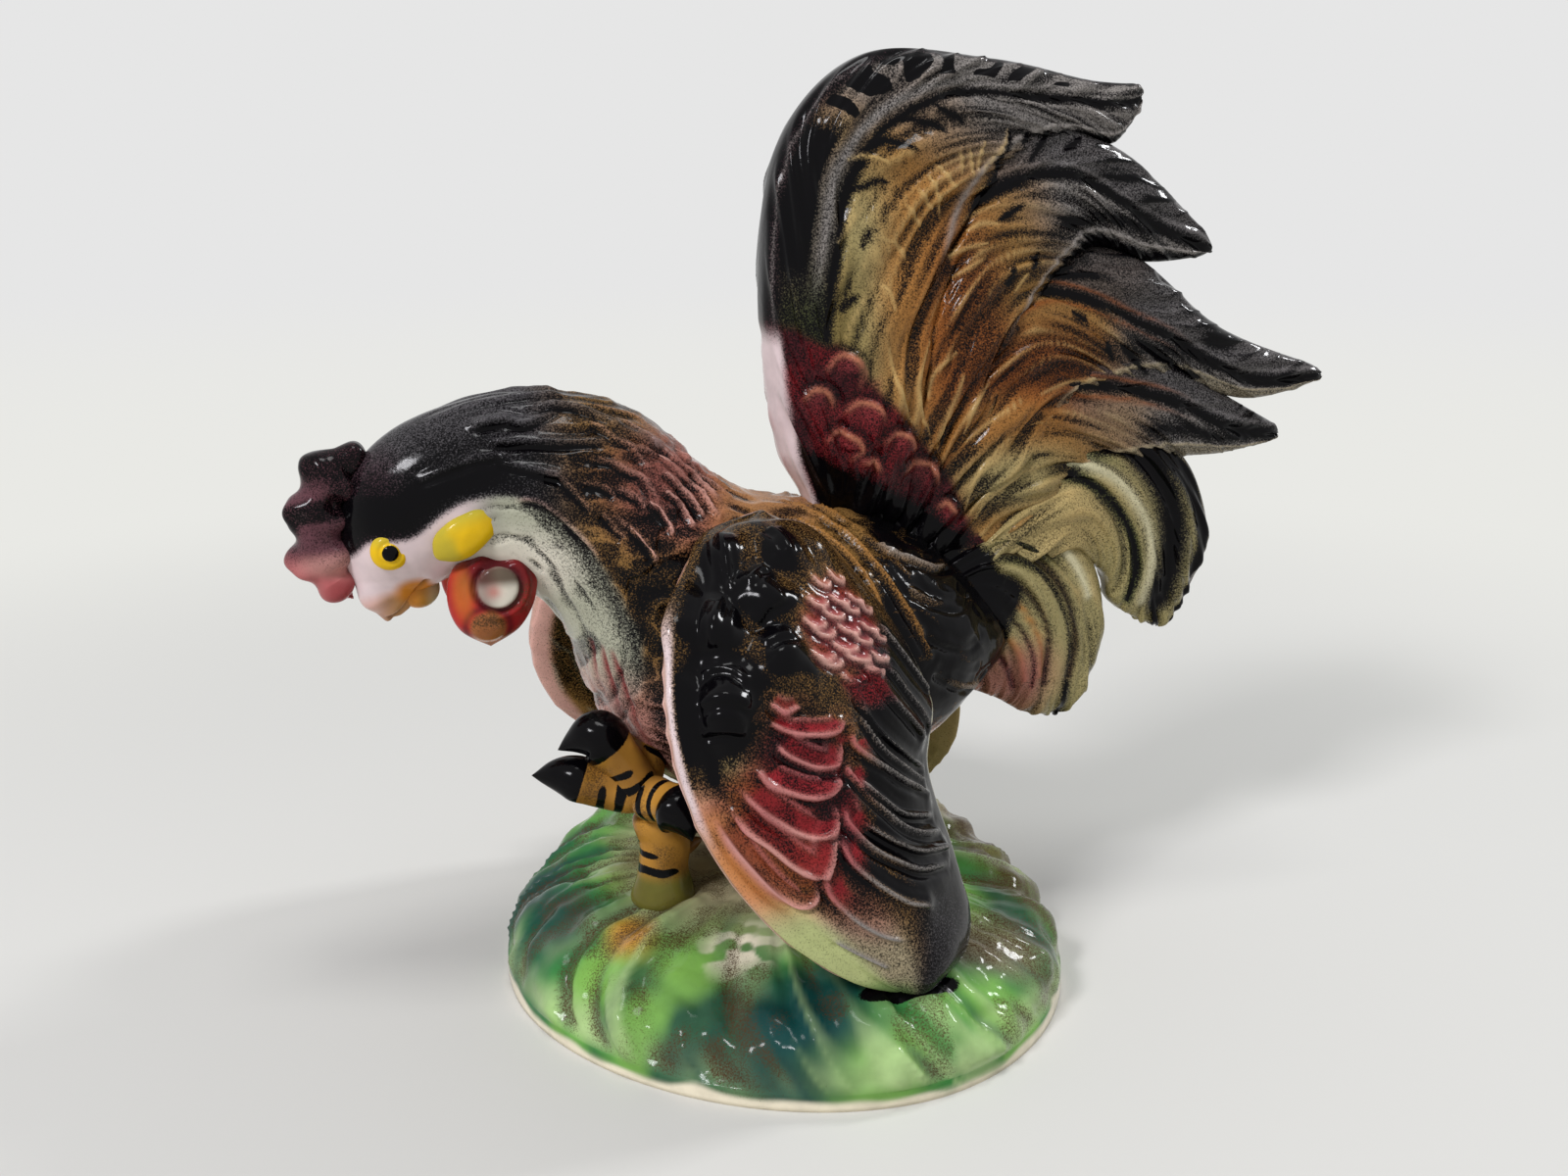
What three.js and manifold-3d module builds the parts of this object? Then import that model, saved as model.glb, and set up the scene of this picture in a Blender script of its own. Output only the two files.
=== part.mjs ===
// Ceramic rooster figurine: slip-cast and press-moulded pieces, luted together on a grassy mound.
// Millimetres, +Z up. The bird faces -X and its left side is -Y. It stands on Z = 0.
import * as THREE from 'three';
import { mergeVertices } from 'three/addons/utils/BufferGeometryUtils.js';
import Module from 'manifold-3d';

const wasm = await Module();
wasm.setup();

// Driving dimensions
const wall = 4;
const seam = 0.3;
const moundLength = 103;
const moundWidth = 116;
const moundHeight = 19;
const moundTurn = 0.19;
const moundCorner = 1.9;
const moundShoulder = 3;
const moundCentreX = -2.8;
const moundCentreY = -8.4;
const grassRidges = 24;
const grassDepth = 1.4;
const rockHeight = 6;
const rockRadius = 12;
const tuftHeight = 4.5;
const tuftRadius = 15;
const wingThickness = 6;
const wingBulge = 8;
const wingEdgePower = 0.6;
const featherEdgePower = 0.75;
const rimHeight = 1.2;
const rimShare = 0.035;
const rimGrooveShare = 0.08;
const shoulderLumpHeight = 1.4;
const shoulderLumpRadius = 4.5;
const rowHeight = 1;
const rowWidth = 2.4;
const quills = 4;
const quillHeight = 0.6;
const barbSpacing = 13;
const barbSweep = 2.7;
const barbHeight = 0.6;
const curlBands = 3;
const shaftGroove = 0.9;
const shaftShare = 0.09;
const fullFeather = 6;
const combThickness = 8;
const combLobes = 5;
const combLobeDepth = 1.2;
const wattleThickness = 8;
const combRootHeight = 4;
const wattleRootLength = 6;
const shankRadius = 4.6;
const ankleRadius = 5.5;
const toeRadius = 3.9;
const clawRadius = 4.3;
const smallToeRadius = 2.5;
const smallToeHeight = 1.6;
const smallToeDrop = 0.4;
const spurRadius = 1.7;
const lobeLength = 11;
const lobeHeight = 8.4;
const lobeThickness = 5;
const lobeTilt = 0.5;
const lobeStation = 5 / 17;
const lobeDrop = 4;

// Step for a slope along a table, slack for vertices that count as one, and the least radius of a ring
const spineStep = 0.01;
const mergeTolerance = 1e-3;
const leastRadius = 0.05;
const poleShare = 1e-6;

// A way that no limb runs along, from which the turns around it count
const limbSide = [0.31, 0.9, 0.3];

// Facets around and along each skin
const trunkSegments = [24, 16];
const cavitySegments = [16, 9];
const moundSegments = [64, 10];
const undersideSegments = [32, 7];
const wingSegments = [36, 32];
const rowSegments = 12;
const featherSegments = [20, 36];
const limbSegments = [9, 9];
const combSegments = [12, combLobes * 5];
const wattleSegments = [14, 12];
const lobeSegments = [14, 10];

// Bird heights below count from the mound's flat top.
// Trunk stations from the beak's tip to the rump: top x, z, bottom x, z, half width.
const trunkStations = [
  [-72, 49.5, -72, 49.5, 0],
  [-76, 54, -68.5, 52.5, 3],
  [-78.5, 60, -64.5, 55, 6],
  [-79, 68, -61, 57, 8.5],
  [-76.5, 76, -59, 58, 10],
  [-69, 83, -57, 57.5, 11],
  [-58, 87, -54, 55.5, 12],
  [-46, 88, -49.5, 54, 13.5],
  [-35, 87, -45, 51.5, 16],
  [-25, 82.5, -41, 45, 19],
  [-16, 74.5, -37.5, 34.5, 22.5],
  [-7, 69, -30, 22, 26],
  [5, 66.5, -14, 12, 28],
  [16, 64, 8, 12, 27],
  [27, 58, 23, 19, 22.5],
  [36, 50, 33, 27, 15.5],
  [42, 43, 40, 33, 8],
  [44, 37, 44, 37, 0],
];
const neckEnd = 9 / 17;
const cavityStart = 4.5 / 17;
const cavityEnd = 15 / 17;

// Wing stations from the shoulder to the tip: front edge x, y, z, then rear edge x, y, z.
const leftWingStations = [
  [-9, -17, 69, -9, -17, 69],
  [-19, -21, 66, 2, -16, 63],
  [-27, -33, 60, 13, -22, 49],
  [-31, -43, 49, 19, -27, 36],
  [-31, -49, 38, 17, -32, 25],
  [-27, -53, 25, 19, -38, 13],
  [-17, -56, 10, 21, -44, 3],
  [-5, -57, 0, 18, -49, -3],
  [7, -54, -6, 7, -54, -6],
];
const rightWingStations = [
  [-8, 20, 63, -8, 20, 63],
  [-22, 24, 61, 6, 21, 57],
  [-34, 31, 54, 20, 22, 46],
  [-41, 40, 39, 36, 24, 32],
  [-42, 45, 26, 45, 27, 18],
  [-36, 46, 14, 46, 29, 7],
  [-20, 45, 5, 43, 32, -1],
  [4, 42, -1, 38, 34, -5],
  [26, 36, -7, 26, 36, -7],
];

// Shares of a wing's width and length: lumps of the shoulder, and rows of feather edges on the outer face
const shoulderLumps = [
  [0.13, 0.2],
  [0.28, 0.27],
  [0.12, 0.32],
  [0.3, 0.36],
  [0.13, 0.43],
  [0.42, 0.21],
  [0.62, 0.19],
];
const featherRows = [
  [[0.25, 0.45], [0.38, 0.475], [0.5, 0.46], [0.64, 0.527], [0.86, 0.555]],
  [[0.2, 0.54], [0.31, 0.573], [0.43, 0.555], [0.53, 0.6], [0.66, 0.65], [0.87, 0.64]],
  [[0.09, 0.6], [0.14, 0.645], [0.23, 0.689], [0.36, 0.635], [0.45, 0.715], [0.6, 0.74]],
  [[0.6, 0.351], [0.7, 0.405], [0.88, 0.455]],
];

// Tail feathers from root to tip: outer edge x, z, inner edge x, z, half thickness, shaft's share of width.
const tailFeathers = [
  [
    [8, 60, 24, 60, 3, 0.2],
    [-1, 78, 26, 78, 10.5, 0.34],
    [-4.5, 104, 30, 98, 10, 0.37],
    [-1, 130, 36, 118, 8.5, 0.32],
    [14, 145, 46, 128, 6.5, 0.41],
    [38, 144.5, 54, 131, 5, 0.49],
    [57, 141, 62, 130, 3.5, 0.35],
    [68, 140.5, 67, 136, 1.5, 0.5],
  ],
  [
    [12, 60, 30, 58, 3, 0.4],
    [18, 88, 38, 80, 9.5, 0.21],
    [29, 118, 46, 98, 9, 0.08],
    [45, 132.5, 57, 111, 7.5, 0.36],
    [63, 129, 70, 108.5, 5, 0.6],
    [84, 112, 83, 109.5, 1.5, 0.7],
  ],
  [
    [16, 58, 34, 54, 3, 0.35],
    [26, 80, 46, 68, 9, 0.11],
    [42, 106, 56, 82, 8.5, 0.12],
    [64, 111, 74, 86, 7, 0.58],
    [86, 96, 93, 82, 4.5, 0.68],
    [109, 87.5, 109, 85, 1.5, 0.7],
  ],
  [
    [20, 56, 36, 50, 3, 0.29],
    [32, 76, 50, 60, 9, 0.07],
    [48, 95, 60, 68, 8.5, 0.32],
    [70, 93, 76, 71, 6.5, 0.43],
    [88, 83, 88, 71.5, 4.5, 0.53],
    [101, 76, 100, 73.5, 1.5, 0.6],
  ],
];
const curlFeathers = [
  [
    [24, 52, 34, 44, 3, 0.4],
    [40, 64, 46, 50, 9, 0.1],
    [60, 77, 56, 53, 8.5, 0.24],
    [78, 73, 64, 49, 7, 0.56],
    [86, 55, 66, 43, 5.5, 0.64],
    [79, 37, 74, 38, 2, 0.7],
  ],
  [
    [22, 48, 20, 40, 3, 0.4],
    [40, 60, 27, 34, 9, 0.18],
    [57, 57, 34, 29, 8.5, 0.29],
    [64, 43, 42, 25.5, 7, 0.4],
    [62, 28, 48, 22, 5.5, 0.5],
    [57, 20.5, 53, 21, 2, 0.5],
  ],
];

// Comb stations from the crown to the beak: x, z, half height across the crest.
const combStations = [
  [-73, 77, 0],
  [-77.5, 77.5, 4],
  [-81.5, 72, 5],
  [-82.5, 65, 5.2],
  [-81, 58, 4.4],
  [-77.5, 53.5, 0],
];
// Wattle stations from the cheek down, on the bird's left: x, y, z, half length.
const wattleStations = [
  [-55, -7, 62, 0],
  [-54, -8, 60, 6.6],
  [-54.5, -8.5, 54.5, 7.6],
  [-55, -8.5, 49, 5.2],
  [-55, -8, 45.5, 0],
];

// Leg and toe paths: x, y, z, radius. The left leg sits back on its heel with its foot raised.
const leftHeel = [-27, -16];
const leftShank = [
  [...leftHeel, -4, 0],
  [...leftHeel, -2, ankleRadius],
  [...leftHeel, 4, shankRadius],
  [-26.8, -16, 10, shankRadius],
  [-28, -16.5, 15, toeRadius],
  [-28.6, -16.8, 16.5, 0],
];
const leftSpur = [
  [-26, -15.5, 6.5, 0],
  [-23.5, -15, 7, spurRadius],
  [-19, -14, 8, 0],
];
const leftToes = [
  [
    [-29, -16, 16, 0],
    [-31, -17.5, 20, toeRadius],
    [-34.5, -17.5, 26, toeRadius],
    [-39, -17, 30.5, clawRadius],
    [-45, -15.5, 28, 0],
  ],
  [
    [-29, -15, 17, 0],
    [-32, -17, 19.5, toeRadius],
    [-39, -16, 21.5, toeRadius],
    [-43.5, -15, 22.8, toeRadius],
    [-49.5, -13.5, 23, 0],
  ],
  [
    [-31, -14, 17, 0],
    [-29.5, -19, 19, toeRadius],
    [-27, -24, 19.5, toeRadius],
    [-25.5, -28, 18.5, clawRadius],
    [-24.5, -31, 15, 0],
  ],
  [
    [-25, -4, 30, 0],
    [-28, -9, 26, clawRadius],
    [-31, -15, 21, toeRadius],
    [-32, -17, 19, 0],
  ],
];
const rightHeel = [8, 14];
const rightShank = [
  [...rightHeel, -4, 0],
  [...rightHeel, -2, ankleRadius],
  [...rightHeel, 5, shankRadius],
  [7, 13, 11, ankleRadius],
  [5, 11, 18, shankRadius * 2],
  [4, 10, 24, 0],
];
const rightToeTips = [
  [-6, 8],
  [-8, 16],
  [-3, 23],
];
const rightToes = rightToeTips.map(([x, y]) => [
  [...rightHeel, 1, 0],
  [rightHeel[0] - 2, rightHeel[1], smallToeHeight, smallToeRadius],
  [(x + rightHeel[0]) / 2, (y + rightHeel[1]) / 2, smallToeHeight - smallToeDrop, smallToeRadius],
  [x, y, 0, 0],
]);

// Lumps on the mound: x, y, height, radius.
const lumps = [
  [36, 18, rockHeight, rockRadius],
  [-26, 30, tuftHeight, tuftRadius],
];

// Catmull-Rom value between the rows of a table, in every column; at runs from 0 to 1.
function between(rows, at) {
  const span = THREE.MathUtils.clamp(at, 0, 1) * (rows.length - 1);
  const first = Math.min(Math.floor(span), rows.length - 2);
  const f = span - first;
  const row = (k) => rows[THREE.MathUtils.clamp(k, 0, rows.length - 1)];
  return rows[0].map((_, column) => {
    const [a, b, c, d] = [-1, 0, 1, 2].map((k) => row(first + k)[column]);
    return b + 0.5 * f * (c - a + f * (2 * a - 5 * b + 4 * c - d + f * (3 * (b - c) + d - a)));
  });
}

const isPole = (run) => run < poleShare || run > 1 - poleShare;

// Sine or cosine drawn out towards a square corner
const squared = (wave, power) => Math.sign(wave) * Math.abs(wave) ** power;

// A soft ridge of the given width
const bell = (distance, width) => Math.exp(-((distance / width) ** 2));

// Closed skin: a sphere's grid whose vertices move to place(turn, run).
// The turn goes once around in radians, and the run goes from 0 at one pole to 1 at the other.
function skin([around, along], place) {
  const sphere = new THREE.SphereGeometry(1, around, along);
  const { position, uv } = sphere.attributes;
  for (let i = 0; i < position.count; i += 1) {
    const run = 1 - uv.getY(i);
    const point = place(uv.getX(i) * 2 * Math.PI, run);
    position.setXYZ(i, point.x, point.y, point.z);
  }
  return toSolid(sphere);
}

// Merged, outward-facing solid of a closed geometry.
function toSolid(geometry) {
  const bare = new THREE.BufferGeometry();
  bare.setAttribute('position', geometry.attributes.position);
  bare.setIndex(geometry.index);
  const merged = mergeVertices(bare, mergeTolerance);
  const points = merged.attributes.position;
  const corner = (k) => new THREE.Vector3().fromBufferAttribute(points, k);
  const index = merged.index.array;
  const triangles = [];
  let volume = 0;
  for (let i = 0; i < index.length; i += 3) {
    const trio = [index[i], index[i + 1], index[i + 2]];
    if (new Set(trio).size === 3) triangles.push(trio);
    volume += corner(trio[0]).dot(corner(trio[1]).cross(corner(trio[2])));
  }
  const outward = triangles.map(([a, b, c]) => (volume < 0 ? [a, c, b] : [a, b, c]));
  const triVerts = new Uint32Array(outward.flat());
  const vertProperties = new Float32Array(points.array);
  return new wasm.Manifold(new wasm.Mesh({ numProp: 3, vertProperties, triVerts }));
}

const union = (solids) => solids.reduce((all, solid) => all.add(solid));

// Largest connected part of a solid, so that a trimmed piece has no loose crumbs.
function main(solid) {
  const parts = solid.decompose();
  return parts.reduce((best, part) => (part.volume() > best.volume() ? part : best));
}

// A solid trimmed to sit on its carriers.
function seated(solid, ...carriers) {
  return main(carriers.reduce((rest, carrier) => rest.subtract(carrier), solid));
}

// Trunk: one run of oval rings, each between a point of the back and a point of the belly.
function trunkRing(at) {
  const [topX, topZ, lowX, lowZ, wide] = between(trunkStations, at);
  const up = new THREE.Vector2(topX - lowX, topZ - lowZ);
  const high = up.length() / 2;
  up.normalize();
  return { x: (topX + lowX) / 2, z: (topZ + lowZ) / 2, high, wide, up };
}

// The trunk's skin from one station share to another, grown all round, with flat ends where it is cut.
function trunkSkin(from, to, grow, segments = trunkSegments) {
  const ring = 1 / segments[1];
  const first = from > 0 ? ring : 0;
  const last = to < 1 ? 1 - ring : 1;
  return skin(segments, (turn, run) => {
    const share = THREE.MathUtils.clamp((run - first) / (last - first), 0, 1);
    const { x, z, high, wide, up } = trunkRing(from + (to - from) * share);
    const rise = isPole(run) ? 0 : Math.max(high + grow, leastRadius) * Math.cos(turn);
    const aside = isPole(run) ? 0 : Math.max(wide + grow, leastRadius) * Math.sin(turn);
    return new THREE.Vector3(x + up.x * rise, aside, z + up.y * rise);
  });
}

// Millimetres along the trunk for each unit of its run
function trunkSpeed(at) {
  const [behind, ahead] = [trunkRing(at - spineStep), trunkRing(at + spineStep)];
  return Math.hypot(ahead.x - behind.x, ahead.z - behind.z) / (2 * spineStep);
}

// Wing: a cupped blade between a front and a rear edge, bulging away from the body, with pressed relief.
function wingBlade(stations, side) {
  const blade = (turn, run, relief = 0) => {
    const row = between(stations, run);
    const front = new THREE.Vector3(...row.slice(0, 3));
    const rear = new THREE.Vector3(...row.slice(3));
    const chord = rear.clone().sub(front);
    const before = between(stations, Math.max(run - spineStep, 0));
    const after = between(stations, Math.min(run + spineStep, 1));
    const step = after.map((value, k) => value - before[k]);
    const down = new THREE.Vector3(step[0] + step[3], step[1] + step[4], step[2] + step[5]);
    const out = chord.clone().cross(down).normalize();
    if (out.y * side < 0) out.negate();
    const across = (1 - Math.cos(turn)) / 2;
    const fade = Math.sqrt(Math.sin(Math.PI * run));
    const bulge = wingBulge * fade * Math.sin(Math.PI * across);
    const skinDepth = (wingThickness / 2) * fade * squared(Math.sin(turn), wingEdgePower);
    return front.addScaledVector(chord, across).addScaledVector(out, bulge + skinDepth + relief * fade);
  };
  const onFace = ([across, run]) => blade(Math.acos(1 - 2 * across), run);
  const lumpPoints = shoulderLumps.map(onFace);
  const rowShares = Array.from({ length: rowSegments + 1 }, (_, k) => k / rowSegments);
  const rowLines = featherRows.map((row) => {
    const points = rowShares.map((share) => onFace(between(row, share)));
    return points.slice(1).map((point, k) => new THREE.Line3(points[k], point));
  });
  const nearest = new THREE.Vector3();
  return skin(wingSegments, (turn, run) => {
    const point = blade(turn, run);
    const across = (1 - Math.cos(turn)) / 2;
    if (Math.sin(turn) < -poleShare) {
      const quill = Math.sin(2 * Math.PI * quills * across) * Math.sin(Math.PI * run);
      return blade(turn, run, quillHeight * quill);
    }
    const rim = bell(across, rimShare) - bell(across - rimGrooveShare, rimShare);
    const lumpy = lumpPoints.map((lump) => bell(point.distanceTo(lump), shoulderLumpRadius));
    const rows = rowLines.map((lines) => Math.min(
      ...lines.map((line) => line.closestPointToPoint(point, true, nearest).distanceTo(point)),
    ));
    const ridge = Math.max(...rows.map((distance) => bell(distance, rowWidth)));
    const rolled = rimHeight * rim * Math.sin(Math.PI * run);
    return blade(turn, run, rolled + shoulderLumpHeight * Math.max(...lumpy) + rowHeight * ridge);
  });
}

// Length of a feather along its middle
function bladeLength(rows) {
  const steps = rows.slice(1).map(([x, z, innerX, innerZ], k) => (
    Math.hypot(x + innerX - rows[k][0] - rows[k][2], z + innerZ - rows[k][1] - rows[k][3]) / 2
  ));
  return steps.reduce((sum, step) => sum + step);
}

// Tail feather: a blunt-edged blade in the middle plane, with barbs that sweep from a sunk shaft.
function tailBlade(rows, barbs, bands) {
  return skin(featherSegments, (turn, run) => {
    const [outerX, outerZ, innerX, innerZ, thick, shaft] = between(rows, run);
    const across = isPole(run) ? 0.5 : (1 - squared(Math.cos(turn), featherEdgePower)) / 2;
    const barb = barbHeight * Math.cos(2 * Math.PI * (barbs * run - bands * Math.abs(across - shaft)));
    const groove = shaftGroove * bell(across - shaft, shaftShare);
    const relief = (barb - groove) * Math.sin(turn) * Math.min(thick / fullFeather, 1);
    const depth = isPole(run) ? 0 : thick * squared(Math.sin(turn), featherEdgePower) + relief;
    return new THREE.Vector3(
      THREE.MathUtils.lerp(outerX, innerX, across),
      depth,
      THREE.MathUtils.lerp(outerZ, innerZ, across),
    );
  });
}

// Limb: a round tapered bar along a path with a radius at each point.
function limb(path, grow = 0) {
  return skin(limbSegments, (turn, run) => {
    const [x, y, z, radius] = between(path, run);
    const ahead = between(path, Math.min(run + spineStep, 1));
    const behind = between(path, Math.max(run - spineStep, 0));
    const way = new THREE.Vector3(...[0, 1, 2].map((k) => ahead[k] - behind[k])).normalize();
    const aside = new THREE.Vector3(...limbSide).cross(way).normalize();
    const upward = way.clone().cross(aside);
    const reach = isPole(run) ? 0 : Math.max(radius, leastRadius) + grow;
    const lead = isPole(run) ? grow * Math.sign(run - 0.5) : 0;
    return new THREE.Vector3(x, y, z)
      .addScaledVector(way, lead)
      .addScaledVector(aside, reach * Math.cos(turn))
      .addScaledVector(upward, reach * Math.sin(turn));
  });
}

// Comb: a crest of rounded lobes standing in the middle plane.
function combCrest() {
  return skin(combSegments, (turn, run) => {
    const [x, z, high] = between(combStations, run);
    const ahead = between(combStations, Math.min(run + spineStep, 1));
    const behind = between(combStations, Math.max(run - spineStep, 0));
    const along = new THREE.Vector2(ahead[0] - behind[0], ahead[1] - behind[1]).normalize();
    const body = isPole(run) ? 0 : Math.min(high / combRootHeight, 1);
    const lobe = combLobeDepth * body * Math.cos(2 * Math.PI * combLobes * run);
    const rise = isPole(run) ? 0 : (high - lobe) * Math.cos(turn);
    const aside = (combThickness / 2) * body * Math.sin(turn);
    return new THREE.Vector3(x + along.y * rise, aside, z - along.x * rise);
  });
}

// Wattle: a flat drop hanging from the cheek.
function wattleDrop(side) {
  return skin(wattleSegments, (turn, run) => {
    const [x, y, z, half] = between(wattleStations, run);
    const aside = (wattleThickness / 2) * Math.min(half / wattleRootLength, 1);
    return new THREE.Vector3(x + half * Math.cos(turn), -side * (y + aside * Math.sin(turn)), z);
  });
}

// Mound: a full-shouldered dome on a flat foot, turned a little, with grass ridges down its sides.
// A negative inset grows it, and lift moves it up.
function moundSkin({ inset = 0, foot = 0, lift = 0, segments = moundSegments } = {}) {
  const footRun = 1 / segments[1];
  return skin(segments, (turn, run) => {
    const slope = (Math.PI / 2) * Math.min((1 - run) / (1 - footRun), 1);
    const reach = Math.sin(slope) ** (2 / moundShoulder);
    const rise = Math.max(Math.cos(slope), 0) ** (2 / moundShoulder);
    const [side, front] = [Math.cos(turn), Math.sin(turn)];
    const corner = (Math.abs(side) ** moundCorner + Math.abs(front) ** moundCorner) ** (-1 / moundCorner);
    const ridge = grassDepth * Math.cos(grassRidges * turn) * rise * reach ** 3;
    const share = isPole(run) ? 0 : reach * corner;
    const ovalX = (moundLength / 2 - inset + ridge) * share * side;
    const ovalY = (moundWidth / 2 - inset + ridge) * share * front;
    const x = ovalX * Math.cos(moundTurn) - ovalY * Math.sin(moundTurn) + moundCentreX;
    const y = ovalX * Math.sin(moundTurn) + ovalY * Math.cos(moundTurn) + moundCentreY;
    const lump = lumps.reduce((sum, [at, to, high, wide]) => (
      sum + high * Math.exp(-((x - at) ** 2 + (y - to) ** 2) / wide ** 2)
    ), 0);
    const height = foot + (moundHeight - inset - foot + lump) * rise;
    const isFoot = isPole(run) && run < 0.5;
    return new THREE.Vector3(x, y, (isFoot ? foot : height) + lift);
  });
}

// Ear lobe: a small oval pad on the cheek.
function earLobe(side) {
  const sphere = new THREE.SphereGeometry(1, ...lobeSegments);
  sphere.scale(lobeLength / 2, lobeThickness / 2, lobeHeight / 2);
  sphere.rotateY(-lobeTilt);
  const { high, wide, x, z, up } = trunkRing(lobeStation);
  const aside = side * wide * Math.sqrt(1 - (lobeDrop / high) ** 2);
  sphere.translate(x - up.x * lobeDrop, aside, z - up.y * lobeDrop);
  return toSolid(sphere);
}

// Materials, as the glaze reads from a step away
const glaze = (color) => new THREE.MeshStandardMaterial({ color, roughness: 0.15, metalness: 0 });

function piece(name, solid, color) {
  const { vertProperties, triVerts } = solid.getMesh();
  const geometry = new THREE.BufferGeometry();
  geometry.setAttribute('position', new THREE.BufferAttribute(vertProperties, 3));
  geometry.setIndex(new THREE.BufferAttribute(triVerts, 1));
  geometry.computeVertexNormals();
  const mesh = new THREE.Mesh(geometry, glaze(color));
  mesh.name = name;
  return mesh;
}

// Trunk in two casts, with a slit between the neck's mouth and the body's
const neckMouth = neckEnd + seam / trunkSpeed(neckEnd);
const neckCast = (grow) => trunkSkin(0, neckEnd, grow);
const bodyCast = (grow) => trunkSkin(neckMouth, 1, grow);
const mouthCast = (grow) => trunkSkin(neckEnd - spineStep, neckMouth + spineStep, grow);
const neckCavity = trunkSkin(cavityStart, neckEnd + spineStep, -wall, cavitySegments);
const bodyCavity = trunkSkin(neckMouth - spineStep, cavityEnd, -wall, cavitySegments);
const neck = neckCast(0).subtract(neckCavity);
const body = bodyCast(0).subtract(bodyCavity);

// Carriers, each a seam larger all round than the piece that it stands for
const trunkSeat = union([neckCast(seam), mouthCast(seam), bodyCast(seam)]);
const moundSeat = moundSkin({ inset: -seam, foot: -seam, lift: -moundHeight });
const leftLegSeat = limb(leftShank, seam);

const leftLeg = limb(leftShank).add(limb(leftSpur));
const leftFoot = union(leftToes.map((path) => limb(path)));
const rightLeg = union([rightShank, ...rightToes].map((path) => limb(path)));
const tail = union([
  ...tailFeathers.map((rows) => tailBlade(rows, bladeLength(rows) / barbSpacing, barbSweep)),
  ...curlFeathers.map((rows) => tailBlade(rows, 0, curlBands)),
]);

const underside = moundSkin({ inset: wall, foot: -wall, segments: undersideSegments });
const mound = moundSkin().subtract(underside);

const bird = new THREE.Group();
bird.position.z = moundHeight;
bird.add(
  piece('body_shell', main(body), 0x2b2422),
  piece('neck_and_head', main(neck), 0x3a3230),
  piece('comb', seated(combCrest(), trunkSeat), 0x6e2a36),
  piece('wattle_left', seated(wattleDrop(-1), trunkSeat), 0x9c2a2a),
  piece('wattle_right', seated(wattleDrop(1), trunkSeat), 0x9c2a2a),
  piece('ear_lobe_left', seated(earLobe(-1), trunkSeat), 0xc9a227),
  piece('ear_lobe_right', seated(earLobe(1), trunkSeat), 0xc9a227),
  piece('wing_left', seated(wingBlade(leftWingStations, -1), trunkSeat, moundSeat), 0x4a2a2e),
  piece('wing_right', seated(wingBlade(rightWingStations, 1), trunkSeat, moundSeat), 0x4a2a2e),
  piece('tail_fan', seated(tail, trunkSeat), 0x6b5a3a),
  piece('left_leg', seated(leftLeg, trunkSeat, moundSeat), 0xc98a3a),
  piece('left_foot', seated(leftFoot, leftLegSeat, trunkSeat), 0xc98a3a),
  piece('right_leg', seated(rightLeg, trunkSeat, moundSeat), 0xc98a3a),
);

const figurine = new THREE.Group();
figurine.add(piece('base_mound', main(mound), 0x5f9e48), bird);

// The origin lies under the middle of the whole figurine.
const middle = new THREE.Box3().setFromObject(figurine).getCenter(new THREE.Vector3());
figurine.position.set(-middle.x, -middle.y, 0);

export default figurine;
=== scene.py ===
"""Glazed ceramic rooster on a grassy mound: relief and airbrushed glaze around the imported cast."""

import itertools
import math

import bmesh
import bpy
import numpy as np
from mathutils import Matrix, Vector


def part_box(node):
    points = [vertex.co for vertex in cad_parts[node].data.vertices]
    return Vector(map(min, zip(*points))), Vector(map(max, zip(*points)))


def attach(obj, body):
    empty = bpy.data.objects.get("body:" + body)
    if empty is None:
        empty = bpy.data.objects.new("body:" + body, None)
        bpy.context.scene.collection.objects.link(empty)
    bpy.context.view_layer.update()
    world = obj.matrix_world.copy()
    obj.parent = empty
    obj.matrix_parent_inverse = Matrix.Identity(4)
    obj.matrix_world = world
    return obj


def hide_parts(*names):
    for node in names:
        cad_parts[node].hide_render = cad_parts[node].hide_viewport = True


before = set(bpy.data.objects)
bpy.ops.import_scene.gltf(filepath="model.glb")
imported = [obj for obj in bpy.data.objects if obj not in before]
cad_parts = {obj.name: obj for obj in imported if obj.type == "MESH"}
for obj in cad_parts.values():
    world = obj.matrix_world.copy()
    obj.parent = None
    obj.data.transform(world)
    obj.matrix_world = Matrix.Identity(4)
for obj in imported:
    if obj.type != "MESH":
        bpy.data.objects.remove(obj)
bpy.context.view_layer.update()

MM = 0.001
TURN = 2 * math.pi
STEP = 0.01

# Shapes of the cast, in millimetres
# Heights of the bird count from the mound's flat top. The bird faces -X and its left side is -Y.
MOUND_TOP = 19.0
MOUND_LENGTH, MOUND_WIDTH, MOUND_TURN = 103.0, 116.0, 0.19
MOUND_CORNER, MOUND_SHOULDER = 1.9, 3.0
MOUND_CENTRE = (-2.8, -8.4)
LUMPS = [(36, 18, 6, 12), (-26, 30, 4.5, 15)]
WALL = 4.0

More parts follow.
